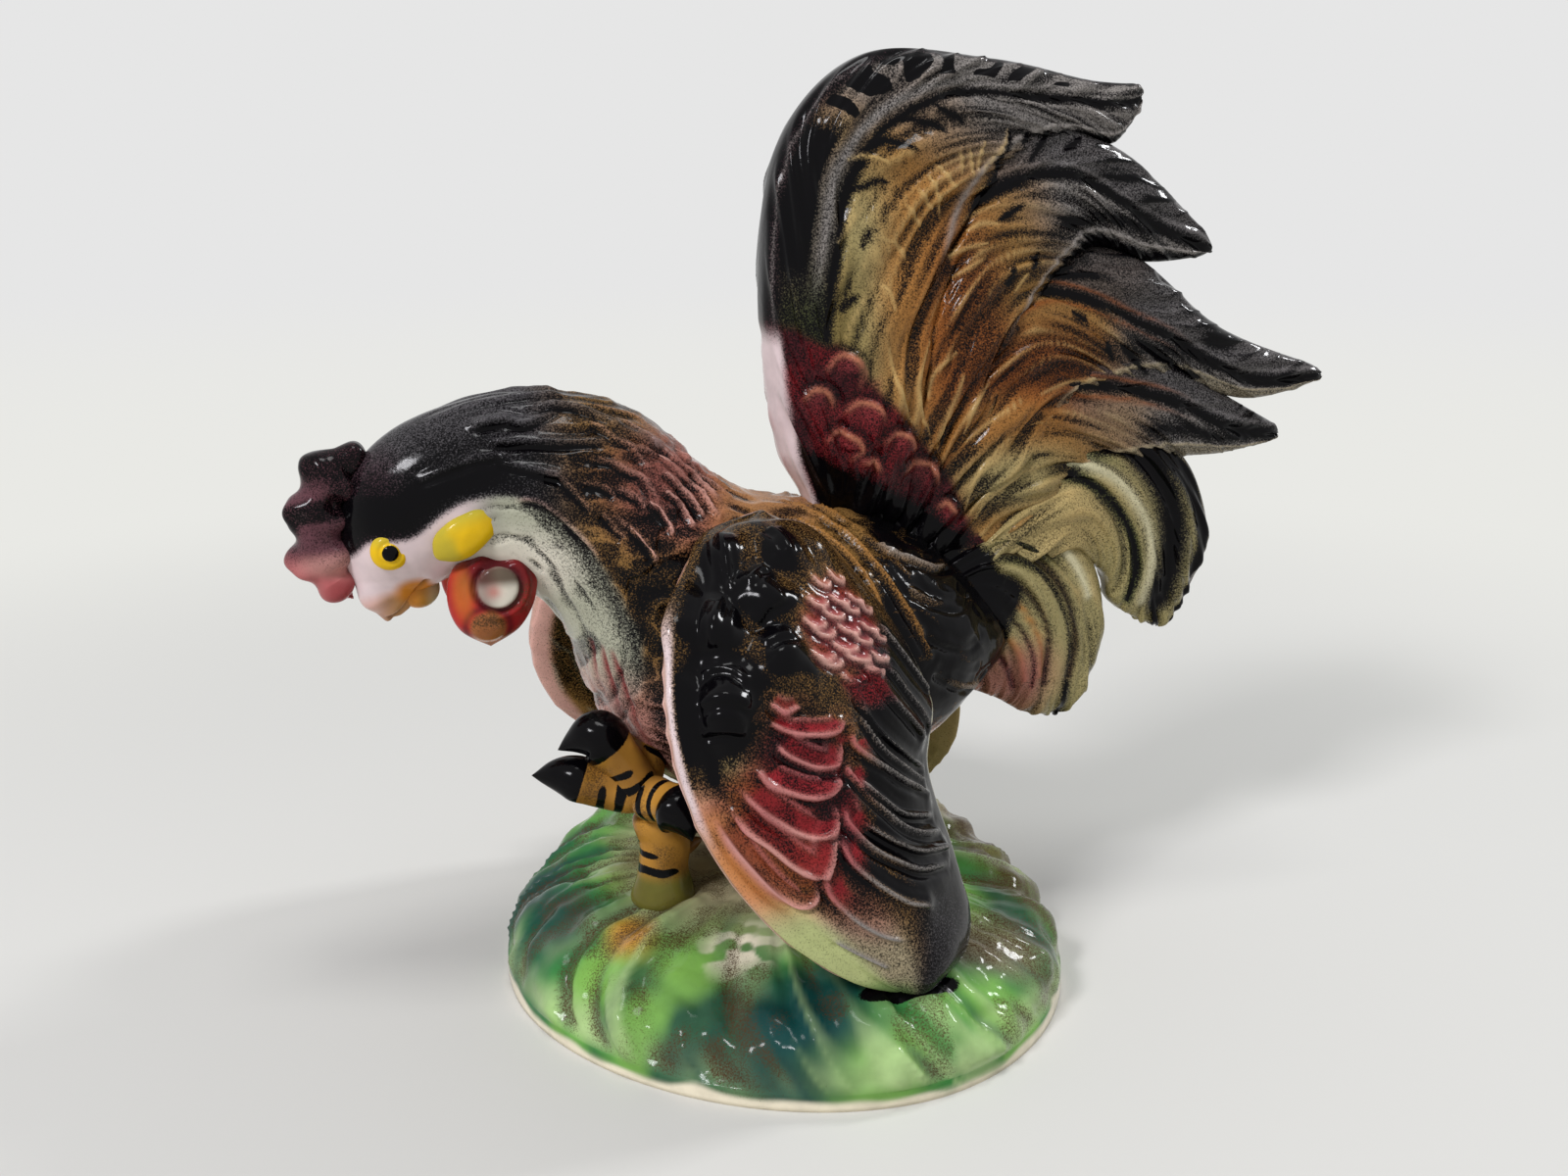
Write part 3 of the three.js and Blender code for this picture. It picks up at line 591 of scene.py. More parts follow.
COLOURS = {name: glaze_colour(code) for name, code in {
    "black": "060507",
    "charcoal": "2C2A2E",
    "slate": "5A5759",
    "ash": "8E8883",
    "umber": "4A3622",
    "olive": "776534",
    "gold": "96703E",
    "tan": "AC783E",
    "rust": "86471D",
    "cream": "D2CBA8",
    "sage": "A39768",
    "crimson": "8A2228",
    "maroon": "4E1A20",
    "rose": "AE6262",
    "blush": "D8A79A",
    "petal": "D9C6C6",
    "bone": "E3DCCB",
    "throat": "AFAF9A",
    "red": "B22E2A",
    "orange": "C9802E",
    "amber": "B07E34",
    "yellow": "E2B71C",
    "mustard": "B5A333",
    "brown": "6E4A22",
    "leaf": "3F8440",
    "lime": "7FB052",
    "mint": "AEC78A",
    "teal": "0E3B3C",
    "moss": "3E5A2A",
    "sand": "A89A7C",
    "clay": "E9DFC6",
    "straw": "C2A56C",
    "plum": "51373F",
}.items()}


# Glaze materials
def feed(tree, node, sources):
    """Join outputs to a node's inputs, or set the inputs' plain values."""
    for slot, source in sources.items():
        if isinstance(source, bpy.types.NodeSocket):
            tree.links.new(source, node.inputs[slot])
        else:
            node.inputs[slot].default_value = source


def add_node(tree, kind, sources, output=0, **settings):
    """One output of a new shader node whose settings are made and whose inputs are fed."""
    node = tree.nodes.new("ShaderNode" + kind)
    for name, value in settings.items():
        setattr(node, name, value)
    feed(tree, node, sources)
    return node.outputs[output]


def sum_node(tree, operation, *sources):
    return add_node(tree, "Math", dict(enumerate(sources)), operation=operation)


def noise_node(tree, coordinates, scale, detail=2.0, roughness=0.5):
    sources = {"Vector": coordinates, "Scale": scale, "Detail": detail, "Roughness": roughness}
    return add_node(tree, "TexNoise", sources)


def mix_node(tree, share, first, second, blend="MIX"):
    return add_node(tree, "Mix", {0: share, 6: first, 7: second}, 2, data_type="RGBA", blend_type=blend)


def step_node(tree, value, low, high):
    sources = {"Value": value, "From Min": low, "From Max": high}
    return add_node(tree, "MapRange", sources, interpolation_type="SMOOTHSTEP")


def sprayed_glaze_group():
    """Airbrushed colour under speckled dark dust and brushed black strokes, both layers also carrying painted
    shade, with a faint orange peel.
    """
    group = bpy.data.node_groups.new("sprayed_glaze", "ShaderNodeTree")
    for name, kind, value in (
        ("Ground", "NodeSocketColor", (0.5, 0.5, 0.5, 1)),
        ("Dust_and_shade", "NodeSocketFloat", 0.0),
        ("Ink_and_shade", "NodeSocketFloat", 0.0),
        ("Dust Colour", "NodeSocketColor", (0.01, 0.01, 0.01, 1)),
        ("Ink Colour", "NodeSocketColor", (0.005, 0.005, 0.006, 1)),
        ("Speckle", "NodeSocketFloat", 3400.0),
        ("Mottling", "NodeSocketFloat", 0.25),
    ):
        group.interface.new_socket(name, in_out="INPUT", socket_type=kind).default_value = value
    results = {"Colour": "NodeSocketColor", "Roughness": "NodeSocketFloat", "Height": "NodeSocketFloat"}
    for name, kind in results.items():
        group.interface.new_socket(name, in_out="OUTPUT", socket_type=kind)
    given = group.nodes.new("NodeGroupInput").outputs
    result = group.nodes.new("NodeGroupOutput")
    place = group.nodes.new("ShaderNodeTexCoord").outputs["Object"]
    speckle = noise_node(group, place, given["Speckle"], 3.0, 0.62)
    cloud = noise_node(group, place, 260.0, 3.0)
    peel = noise_node(group, place, 620.0)

    # the dark dust, and the painted shade laid in the same layer, lies where its amount passes the speckle's
    # threshold
    amount = sum_node(group, "MULTIPLY_ADD", given["Dust_and_shade"], 1.25, -0.27)
    amount = sum_node(group, "MULTIPLY_ADD", cloud, 0.3, amount)
    amount = sum_node(group, "MULTIPLY_ADD", step_node(group, given["Dust_and_shade"], 0.86, 1.0), 0.6, amount)
    threshold = sum_node(group, "MULTIPLY_ADD", speckle, 2.6, -0.8)
    low = sum_node(group, "SUBTRACT", threshold, 0.5)
    high = sum_node(group, "ADD", threshold, 0.5)
    dust_and_shade = step_node(group, amount, low, high)
    dust_and_shade = sum_node(group, "MULTIPLY", dust_and_shade, step_node(group, given["Dust_and_shade"], 0.0, 0.06))
    frayed = sum_node(group, "MULTIPLY_ADD", speckle, 0.5, given["Ink_and_shade"])
    ink_and_shade = step_node(group, frayed, 0.67, 0.83)

    shade = sum_node(group, "MULTIPLY_ADD", cloud, 1.2, 0.4)
    grey = add_node(group, "CombineColor", {"Red": shade, "Green": shade, "Blue": shade})
    colour = mix_node(group, given["Mottling"], given["Ground"], grey, "MULTIPLY")
    colour = mix_node(group, dust_and_shade, colour, given["Dust Colour"])
    colour = mix_node(group, ink_and_shade, colour, given["Ink Colour"])
    feed(group, result, {
        "Colour": colour,
        "Roughness": sum_node(group, "MULTIPLY_ADD", peel, 0.10, 0.07),
        "Height": sum_node(group, "MULTIPLY_ADD", speckle, 0.12, peel),
    })
    return group


GLAZE_GROUP = sprayed_glaze_group()


GLAZE_SHEEN, GLAZE_COAT, COAT_ROUGHNESS = 0.09, 0.02, 0.03
PEEL_STRENGTH, PEEL_DEPTH = 0.12, 0.0004
SPECKLES_PER_METRE = 3400.0


def glaze_material(name, dust_and_shade="black", mottling=0.3):
    """A glossy ceramic glaze that reads a piece's ground, its dark dust and its ink, the last two also
    holding painted shade.
    """
    material = bpy.data.materials.new(name)
    material.use_nodes = True
    tree = material.node_tree
    layers = tree.nodes.new("ShaderNodeGroup")
    layers.node_tree = GLAZE_GROUP
    feed(tree, layers, {
        "Dust Colour": (*COLOURS[dust_and_shade], 1),
        "Ink Colour": (*COLOURS["black"], 1),
        "Speckle": SPECKLES_PER_METRE,
        "Mottling": mottling,
        "Ground": add_node(tree, "Attribute", {}, "Color", attribute_name="ground"),
        "Dust_and_shade": add_node(tree, "Attribute", {}, "Fac", attribute_name="dust_and_shade"),
        "Ink_and_shade": add_node(tree, "Attribute", {}, "Fac", attribute_name="ink_and_shade"),
    })
    peel = {"Strength": PEEL_STRENGTH, "Distance": PEEL_DEPTH, "Height": layers.outputs["Height"]}
    feed(tree, tree.nodes["Principled BSDF"], {
        "Base Color": layers.outputs["Colour"],
        "Roughness": layers.outputs["Roughness"],
        "Normal": add_node(tree, "Bump", peel, "Normal"),
        "Specular IOR Level": GLAZE_SHEEN,
        "Coat Weight": GLAZE_COAT,
        "Coat Roughness": COAT_ROUGHNESS,
    })
    return material


# Forms: shaped, pressed and painted skins
class Form:
    """One closed skin: a grid rolled up round its length, its vertices moved to place(turn, run)."""

    def __init__(self, around, along, place, ground="ash"):
        shape = bmesh.new()
        bmesh.ops.create_grid(shape, x_segments=along, y_segments=around, size=1)
        shape.verts.ensure_lookup_table()
        rows = np.arange(len(shape.verts)).reshape(around + 1, along + 1)
        joined = {last: first for last, first in zip(rows[-1, 1:-1], rows[0, 1:-1])}
        joined.update({pole: rows[0, 0] for pole in rows[1:, 0]})
        joined.update({pole: rows[0, -1] for pole in rows[1:, -1]})
        verts = shape.verts
        bmesh.ops.weld_verts(shape, targetmap={verts[gone]: verts[kept] for gone, kept in joined.items()})
        flat = np.array([vert.co for vert in shape.verts])
        self.run = np.round((flat[:, 0] + 1) / 2 * along) / along
        self.turn = np.round((flat[:, 1] + 1) / 2 * around) / around * TURN
        self.points = place(self.turn, self.run)
        self.place = place
        for vert, point in zip(shape.verts, self.points):
            vert.co = point
        if shape.calc_volume(signed=True) < 0:
            bmesh.ops.reverse_faces(shape, faces=shape.faces)
        for face in shape.faces:
            face.smooth = True
        self.mesh = bpy.data.meshes.new("skin")
        shape.to_mesh(self.mesh)
        shape.free()
        self.settle()
        self.whole = np.ones(len(flat))
        self.ground = np.tile(COLOURS[ground], (len(flat), 1))
        self.dust_and_shade = np.zeros(len(flat))
        self.ink_and_shade = np.zeros(len(flat))

    def settle(self):
        """Hand the moved points to the mesh and read its normals back."""
        self.mesh.vertices.foreach_set("co", self.points.ravel())
        self.mesh.update()
        normals = np.zeros(self.points.size)
        self.mesh.vertex_normals.foreach_get("vector", normals)
        self.normal = normals.reshape(-1, 3)

    def press(self, height):
        """Raise the skin by height, or sink it where that is negative."""
        self.points = self.points + self.normal * np.asarray(height)[:, None]
        self.settle()

    def spray(self, colour, mask):
        """Lay a ground colour where the mask is 1."""
        mask = np.clip(mask, 0, 1)[:, None]
        self.ground = self.ground * (1 - mask) + COLOURS[colour] * mask

    def sift(self, amount, mask):
        """Bring the dark layer of dust and painted shade to an amount where the mask is 1."""
        mask = np.clip(mask, 0, 1)
        self.dust_and_shade = self.dust_and_shade * (1 - mask) + amount * mask

    def tint(self, colour, amount, mask):
        """Spray a colour and bring the dust to an amount over the same mask."""
        self.spray(colour, mask)
        self.sift(amount, mask)

    def ovals(self, across, along, rows):
        """Lay each row's colour, or its dust, in an oval: what, share, centre, reach and maybe softness."""
        for what, share, *oval in rows:
            lay = self.spray if isinstance(what, str) else self.sift
            lay(what, share * spot(across, along, *oval))

    def brush(self, mask):
        """Brush solid black on where the mask is 1, for ink strokes and for painted shade."""
        self.ink_and_shade = np.maximum(self.ink_and_shade, np.clip(mask, 0, 1))

    def wipe(self, mask):
        """Take dust and ink off, as on a ridge where the glaze ran thin."""
        keep = 1 - np.clip(mask, 0, 1)
        self.dust_and_shade = self.dust_and_shade * keep
        self.ink_and_shade = self.ink_and_shade * keep

    @property
    def mirrored(self):
        """The points with both sides folded onto one."""
        return self.points * (1, 0, 1) + np.abs(self.points) * (0, 1, 0)

    def finish(self, name, material, slot, *nodes):
        """Make the named piece in metres, with its colour layers, its glaze and its place in the frame."""
        mesh = self.mesh
        mesh.name = name
        mesh.vertices.foreach_set("co", ((self.points + SHIFT) * MM).ravel())
        mesh.update()
        colour = mesh.attributes.new("ground", "FLOAT_COLOR", "POINT")
        colour.data.foreach_set("color", np.column_stack([self.ground, np.ones(len(self.ground))]).ravel())
        for layer in ("dust_and_shade", "ink_and_shade"):
            mesh.attributes.new(layer, "FLOAT", "POINT").data.foreach_set("value", getattr(self, layer))
        mesh.materials.append(material)
        piece = bpy.data.objects.new(name, mesh)
        bpy.context.scene.collection.objects.link(piece)
        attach(piece, "root")
        if nodes:
            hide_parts(*nodes)
        return piece


def feather_edge(form, points, line, lift=0.55, width=0.55, below=1.0, deep=2.8):
    """Press one feather's edge; returns the masks of its edge, its vane and the gap under it, which most
    callers darken as painted shade.
    """
    far, under, share = near_line(points, line)
    ends = faded_ends(share)
    beneath = ramp(-0.4, 0.4, under)
    edge = bell(far, width) * ends
    vane = ramp(0.2, 0.7, far) * fall(0.7 * deep, deep, far) * (1 - beneath) * ends
    gap = bell(far - 1.0, 0.7) * beneath * ends
    form.press(lift * edge - 0.25 * lift * vane - below * lift * gap)
    return edge, vane, gap, share


def stroke(points, line, width):
    """Mask of one brush stroke, pointed at both ends."""
    far, _, share = near_line(points, line, reach=3 * width)
    return bell(far, np.maximum(width * np.sin(math.pi * np.clip(share, 0.04, 0.96)) ** 0.6, 0.05))


# Trunk
def trunk_place(start, end, lift):
    """A stretch of the trunk from start to end, moved off its stations by lift(at, turn)."""
    def place(turn, run):
        at = start + (end - start) * run
        top_x, top_z, low_x, low_z, wide = between(TRUNK, at).T
        grow = lift(at, turn)
        half = np.hypot(top_x - low_x, top_z - low_z) / 2
        factor = np.maximum(1 + grow / np.maximum(half, 0.5), 0)
        rise = np.cos(turn) * factor
        x = (top_x + low_x) / 2 + (top_x - low_x) / 2 * rise
        z = (top_z + low_z) / 2 + (top_z - low_z) / 2 * rise
        return np.stack([x, np.maximum(wide + grow, 0) * np.sin(turn), z], 1)
    return place


# Each kind's lines, lift, width, edge colour and its share, share wiped off the edge, painted shade in the
# gap
TRUNK_FEATHERS = [
    (HACKLE_LINES, 0.7, 0.5, "blush", 0.7, 0.85, 0.95),
    (NAPE_LINES, 1.0, 1.3, "slate", 0.7, 0.30, 1.0),
    (SADDLE_LINES, 0.7, 0.6, "tan", 0.8, 0.7, 0.9),
    (RUMP_LINES, 1.0, 0.55, "ash", 1, 0.9, 0),
]


def dress_trunk(form):
    """Hackle, saddle, rump and chest feathers, and the airbrushed colours over the whole trunk."""
    side = form.mirrored
    x, z = side[:, 0], side[:, 2]
    brow = past_line(x, z, BROW)
    form.tint("gold", 0.72, form.whole)
    # crown and nape: grey speckle above a black band
    head = fall(-48, -36, x)
    form.spray("slate", head)
    form.sift(0.98, head * bell(brow - 4.0, 4.8))
    form.sift(0.62, head * ramp(8.5, 12, brow))
    form.spray("plum", spot(x, z, (-74, 70), (7, 9)))
    # hackle shoulders in dusky rose
    form.ovals(x, z, [
        ("rose", 0.7, (-22, 73), (12, 9)),
        ("maroon", 0.4, (-31, 76), (9, 6)),
        (0.26, 1, (-21, 72), (11, 9)),
        (0.24, 1, (-5, 69), (13, 6)),
        ("blush", 0.4, (-3, 69), (9, 4)),
        (0.93, 1, (-27, 60), (7, 12)),
        (0.86, 1, (-40, 76), (11, 6)),
    ])
    # pale face and throat
    pale = fall(-1.2, 0.6, brow + 0.9 * mottle(side * (0.5, 1, 1), 3.5, 6) * ramp(-54, -46, x))
    face = pale * fall(-60, -52, x)
    form.spray("petal", face)
    form.spray("throat", pale * ramp(-60, -50, x))
    form.spray("bone", pale * spot(x, z, (-50, 60), (9, 6)))
    form.sift(0.0, pale)
    form.sift(0.42, pale * ramp(-57, -40, x) * ramp(-13, -1, brow))
    form.sift(0.80, pale * ramp(-5.0, -0.5, brow) * ramp(-50, -42, x))
    # chest
    chest = ramp(-4, 10, 42 - z) * fall(-27, -20, x)
    form.spray("blush", 0.75 * chest)
    form.spray("rose", 0.35 * chest)
    form.sift(0.34, 0.8 * chest)
    behind = ramp(-31.5, -28.5, x + 0.2 * (z - 40)) * fall(-20, -14, x)
    form.sift(0.86, behind * ramp(20, 30, z) * fall(62, 70, z))
    # back, rump and vent
    form.spray("tan", 0.7 * spot(x, z, (-4, 69), (12, 6)))
    rump = ramp(8, 17, x + 0.25 * (60 - z))
    form.sift(1.0, rump)
    form.tint("blush", 0.1, ramp(14, 22, x) * fall(24, 31, z))
    belly = fall(20, 30, z) * ramp(-22, -10, x) * fall(10, 20, x)
    form.tint("throat", 0.35, belly)

    # fine feather streaks sweep back along the neck and body
    streak = 0.9 - 2.2 * np.abs(mottle(side * (0.28, 1, 1), 2.4, 8)) + 0.4 * mottle(side, 5, 3)
    flat = ramp(-60, -50, x) * (1 - 0.7 * rump) * (1 - 0.85 * pale * (1 - chest))
    form.press(0.3 * streak * flat + 0.3 * mottle(side, 7, 1) * ramp(-66, -50, x))
    form.sift(0.93, 0.8 * ramp(0.1, 0.9, -streak) * flat * (1 - chest))
    form.wipe(0.45 * ramp(0.3, 0.9, streak) * flat * (1 - head))
    for lines, lift, width, colour, share, bared, dust_and_shade in TRUNK_FEATHERS:
        for line in lines:
            edge, _, gap, _ = feather_edge(form, side, line, lift, width)
            form.spray(colour, share * edge)
            form.wipe(bared * edge)
            # painted shade: the sunk gap under each feather's edge is darkened
            form.sift(dust_and_shade, gap * (dust_and_shade > 0))
    for line in CHEST_LINES:
        groove = bell(near_line(side, line)[0], 0.7)
        form.press(-0.5 * groove)
        form.spray("crimson", groove)
        form.sift(0.35, 0.7 * groove)
    # streaks on the throat
    wisps = ramp(0.1, 0.6, mottle(np.stack([x * 0.30 - z * 0.25, 1.6 * brow, 0 * x], 1), 1.6, 5))
    form.press(-0.35 * wisps * pale * ramp(-60, -50, x))
    form.sift(0.72, 0.9 * wisps * pale * ramp(-60, -48, x) * ramp(-24, -6, brow))


def neck_lift(at, turn):
    """The hackle's cape over the shoulders, and the neck's skin sunk behind its scalloped edge."""
    back = (1 + np.cos(turn)) / 2
    edge = 0.525 + 0.035 * back + 0.012 * np.abs(np.cos(6.5 * turn)) * ramp(0.2, 0.5, back)
    cape = 0.5 * ramp(0.3, 0.45, at) * ramp(0.15, 0.5, back)
    return cape - 9 * ramp(0, 0.045, at - edge) - 30 * ramp(0.575, 0.6, at)


def body_lift(at, turn):
    """The body's skin sunk under the hackle's cape."""
    return -2.5 * fall(0.49, 0.535, at) - 40 * fall(0.42, 0.44, at)


neck = Form(256, 380, trunk_place(0, 0.6, neck_lift))
body = Form(256, 380, trunk_place(0.42, 1.0, body_lift))
for trunk in (neck, body):
    dress_trunk(trunk)

# Cheeks, brow and beak are pressed and painted on the neck's cast
side = neck.mirrored
side_x, side_z = side[:, 0], side[:, 2]
neck.press(
    0.9 * bell(np.linalg.norm(side - (-71.2, 8.6, 63.8), axis=1), 4.2)
    + 0.5 * spot(side_x, side_z, (-63, 61), (5, 5))
    - 0.5 * bell(near_line(side, [(-75.5, 6.4, 57.5), (-70, 7.5, 57.2), (-66, 7.0, 58.0)])[0], 0.9)
)
mouth = near_line(side, [(-71.5, 0.5, 50.4), (-69.4, 2.0, 52.2), (-67.0, 4.0, 54.6), (-65.3, 5.4, 57.3)])[0]
beak = spot(side_x, side_z, (-71.0, 52.0), (5.6, 3.4), 0.35)
bumps = spot(side_x, side_z, (-74.5, 54.2), (2.4, 2.2)) + spot(side_x, side_z, (-69.2, 51.2), (2.6, 2.0))
neck.press(-0.9 * bell(mouth, 0.6) + 0.5 * beak + 0.7 * bumps)
neck.spray("blush", 0.8 * beak)
neck.spray("amber", 0.8 * beak * ramp(-75, -70, side_x))
neck.spray("orange", spot(side_x, side_z, (-67.0, 55.5), (3.4, 2.4), 0.4))
neck.sift(0.0, beak)
neck.spray("brown", 0.8 * bell(mouth, 0.5))
neck.finish("hackle_and_head", glaze_material("neck_glaze"), "body_glaze", "neck_and_head")
body.finish("saddle_and_rump", glaze_material("body_glaze"), "body_glaze", "body_shell")


# Eyes, lower bill, comb, wattles and lobes
def pad_place(centre, reach, out, tilt=0.0):
    """A small oval pad; out is its thickness direction's sign along Y."""
    def place(turn, run):
        x = reach[0] * np.sin(math.pi * run) * np.cos(turn)
        z = reach[2] * np.sin(math.pi * run) * np.sin(turn)
        y = -reach[1] * np.cos(math.pi * run) * out
        return np.stack([
            centre[0] + x * math.cos(tilt) - z * math.sin(tilt),
            centre[1] + y,
            centre[2] + x * math.sin(tilt) + z * math.cos(tilt),
        ], 1)
    return place


eye_glaze = glaze_material("eye_glaze", mottling=0.15)
lobe_glaze = glaze_material("lobe_glaze", dust_and_shade="moss", mottling=0.2)
bill_glaze = glaze_material("bill_glaze", dust_and_shade="brown", mottling=0.3)
EYE_X, EYE_Y, EYE_Z = -71.1, 8.4, 63.6
LOBE_X, LOBE_Y, LOBE_Z, LOBE_TILT = -58.6, 11.0, 66.4, 0.62
SIDES = (("left", -1), ("right", 1))
for word, out in SIDES:
    eye = Form(48, 40, pad_place((EYE_X, out * EYE_Y, EYE_Z), (3.3, 1.9, 3.3), out), "yellow")
    ring = np.hypot(eye.points[:, 0] - EYE_X, eye.points[:, 2] - EYE_Z)
    eye.press(0.35 * bell(ring, 1.2) - 0.3 * bell(ring - 1.8, 0.4))
    eye.spray("mustard", 0.8 * ramp(0, 2.5, eye.points[:, 2] - EYE_Z) * ramp(1.2, 2.0, ring))
    eye.brush(fall(1.0, 1.8, ring))
    eye.finish(f"eye_{word}", eye_glaze, "body_glaze")

    lobe_pad = pad_place((LOBE_X, out * LOBE_Y, LOBE_Z), (6.4, 1.9, 3.7), out, LOBE_TILT)
    lobe = Form(64, 48, lobe_pad, "yellow")
    back, up = lobe.points[:, 0] - LOBE_X, lobe.points[:, 2] - LOBE_Z
    lobe.press(0.4 * mottle(lobe.points, 3) * (1 - bell(np.hypot(back, up), 2)))
    lobe.spray("mustard", ramp(0.5, 3.6, up - 0.3 * back) + 0.8 * fall(-4.2, -1.8, back + 0.4 * up))
    lobe.spray("mustard", 0.8 * ramp(0.1, 0.7, mottle(lobe.points, 3, 4)))
    lobe.spray("moss", 0.7 * ramp(3.0, 5.6, up - 0.2 * back))
    lobe.finish(f"lobe_{word}", lobe_glaze, "lobe_glaze", f"ear_lobe_{word}")

lower_bill = Form(48, 40, pad_place((-66.3, 0, 54.6), (3.6, 3.6, 3.4), 1, 0.35), "amber")
lower_bill.spray("cream", 0.6 * ramp(-66, -63.5, lower_bill.points[:, 0]))
lower_bill.spray("orange", 0.8 * bell(lower_bill.points[:, 0] + 67.5, 1.4))
lower_bill.finish("lower_bill", bill_glaze, "body_glaze")


def comb_place(turn, run):
    """A lobed crest standing off its line over the crown."""
    x, z, high = between(COMB, run).T
    way = unit(heading(COMB, run)[:, :2])
    bulk = np.clip(high / 4, 0, 1)
    lobe = COMB_LOBE_DEPTH * bulk * np.cos(TURN * COMB_LOBES * run)
    rise = (high - lobe) * np.cos(turn)
    aside = COMB_THICKNESS / 2 * bulk * squared(np.sin(turn), 0.8)
    return np.stack([x + way[:, 1] * rise, aside, z - way[:, 0] * rise], 1)


comb = Form(96, 160, comb_place, "rose")
crest = comb.points
lobed = np.cos(TURN * COMB_LOBES * comb.run + math.pi)
comb.press(
    0.5 * mottle(crest, 4.5) * np.sin(math.pi * comb.run)
    + 0.7 * lobed * ramp(-85, -80, crest[:, 0]) * np.abs(np.sin(comb.turn))
)
comb.press(0.7 * mottle(crest, 3.2, 6) * np.sin(math.pi * comb.run))
dark = ramp(58, 64, crest[:, 2])
comb.spray("plum", 0.9 * dark)
comb.spray("ash", 0.45 * dark * ramp(0.1, 0.7, mottle(crest, 5, 2)))
comb.sift(0.30, dark)
comb.sift(0.84, dark * ramp(0.0, 0.5, mottle(crest, 4.5, 4)))
comb.sift(0.84, ramp(73, 77, crest[:, 2]))
comb.spray("blush", 0.4 * spot(crest[:, 0], crest[:, 2], (-80, 60.5), (6, 2.0)))
comb.spray("crimson", 0.55 * spot(crest[:, 0], crest[:, 2], (-79, 55.5), (3, 2.0)))
comb.finish("crest", glaze_material("comb_glaze", mottling=0.35), "comb_glaze", "comb")


def wattle_place(side_sign):
    """A flat drop hanging at the cheek, on the side of the sign."""
    def place(turn, run):
        x, y, z, half = between(WATTLE, run).T
        aside = WATTLE_THICKNESS / 2 * np.clip(half / 6, 0, 1)
        return np.stack([x + half * np.cos(turn), -side_sign * (y + aside * np.sin(turn)), z], 1)
    return place


wattle_glaze = glaze_material("wattle_glaze", dust_and_shade="umber", mottling=0.35)
DISC_X, DISC_Z = -53.6, 57.0
LOW_DISC_X, LOW_DISC_Z = -55.6, 50.0
for word, out in SIDES:
    drop = Form(96, 96, wattle_place(out), "red")
    drop.spray("crimson", 0.5 * ramp(-0.4, 0.6, mottle(drop.points, 4, 3)))
    x, z = drop.points[:, 0], drop.points[:, 2]
    upper = np.hypot(x - DISC_X, z - DISC_Z)
    lower = np.hypot(x - LOW_DISC_X, z - LOW_DISC_Z)
    disc = fall(3.2, 4.0, upper)
    drop.press(
        0.7 * bell(upper - 4.9, 0.8) + 0.5 * disc - 0.7 * bell(upper - 4.0, 0.45)
        + 0.5 * fall(1.8, 3.4, lower) * (1 - disc)
    )
    drop.spray("maroon", 0.75 * bell(upper - 5.4, 1.6) * ramp(-2, 3, z - 56))
    drop.spray("bone", disc)
    drop.spray("umber", 0.9 * disc * ramp(-0.6, 1.6, z - DISC_Z))
    drop.spray("maroon", 0.6 * disc * ramp(-1.5, 1.5, -(x - DISC_X) - 1))
    drop.spray("red", 0.6 * bell(np.hypot(x + 54.4, z - 56.4), 1.2))
    drop.spray("maroon", 0.9 * bell(upper - 4.0, 0.6))
    low_disc = fall(2.4, 3.6, lower) * (1 - disc)
    drop.spray("gold", 0.7 * low_disc)
    drop.sift(0.62, 0.9 * low_disc * ramp(-1.0, 1.0, z - LOW_DISC_Z))
    drop.spray("maroon", 0.7 * bell(lower - 3.8, 0.6) * (1 - disc))
    drop.sift(0.42, (1 - disc) * ramp(0.0, 0.7, mottle(drop.points, 3.4, 8)))
    drop.spray("orange", 0.5 * spot(x, z, (-55.5, 46.6), (3.5, 1.6)))
    drop.spray("orange", 0.45 * spot(x, z, (-59.5, 56.0), (1.6, 4)))
    drop.finish(f"drop_{word}", wattle_glaze, "wattle_glaze", f"wattle_{word}")


# Wings
def wing_place(stations, out_sign):
    """A wing bulging outwards between its front and rear edges."""
    def place(turn, run):
        row = between(stations, run)
        front, rear = row[:, :3], row[:, 3:]
        change = heading(stations, run)
        down = change[:, :3] + change[:, 3:]
        chord = rear - front
        out = unit(np.cross(chord, down))
        out *= np.where(out[:, 1:2] * out_sign < 0, -1, 1)
        across = (1 - np.cos(turn)) / 2
        fade = np.sqrt(np.sin(math.pi * np.clip(run, 0, 1)))
        bulge = WING_BULGE * fade * np.sin(math.pi * across)
        depth = WING_THICKNESS / 2 * fade * squared(np.sin(turn), 0.6)
        return front + chord * across[:, None] + out * (bulge + depth)[:, None]
    return place


def wing_line(form, line):
    """A line given as shares of the wing's width and length, on its outer face."""
    fine = between(line, np.linspace(0, 1, 24))
    return form.place(np.arccos(1 - 2 * np.clip(fine[:, 0], 0, 1)), fine[:, 1])


def wing_edge(form, points, line, *shape):
    """A feather's edge pressed along a line of the wing; shape is lift, width, below and deep."""
    return feather_edge(form, points, wing_line(form, line), *shape)


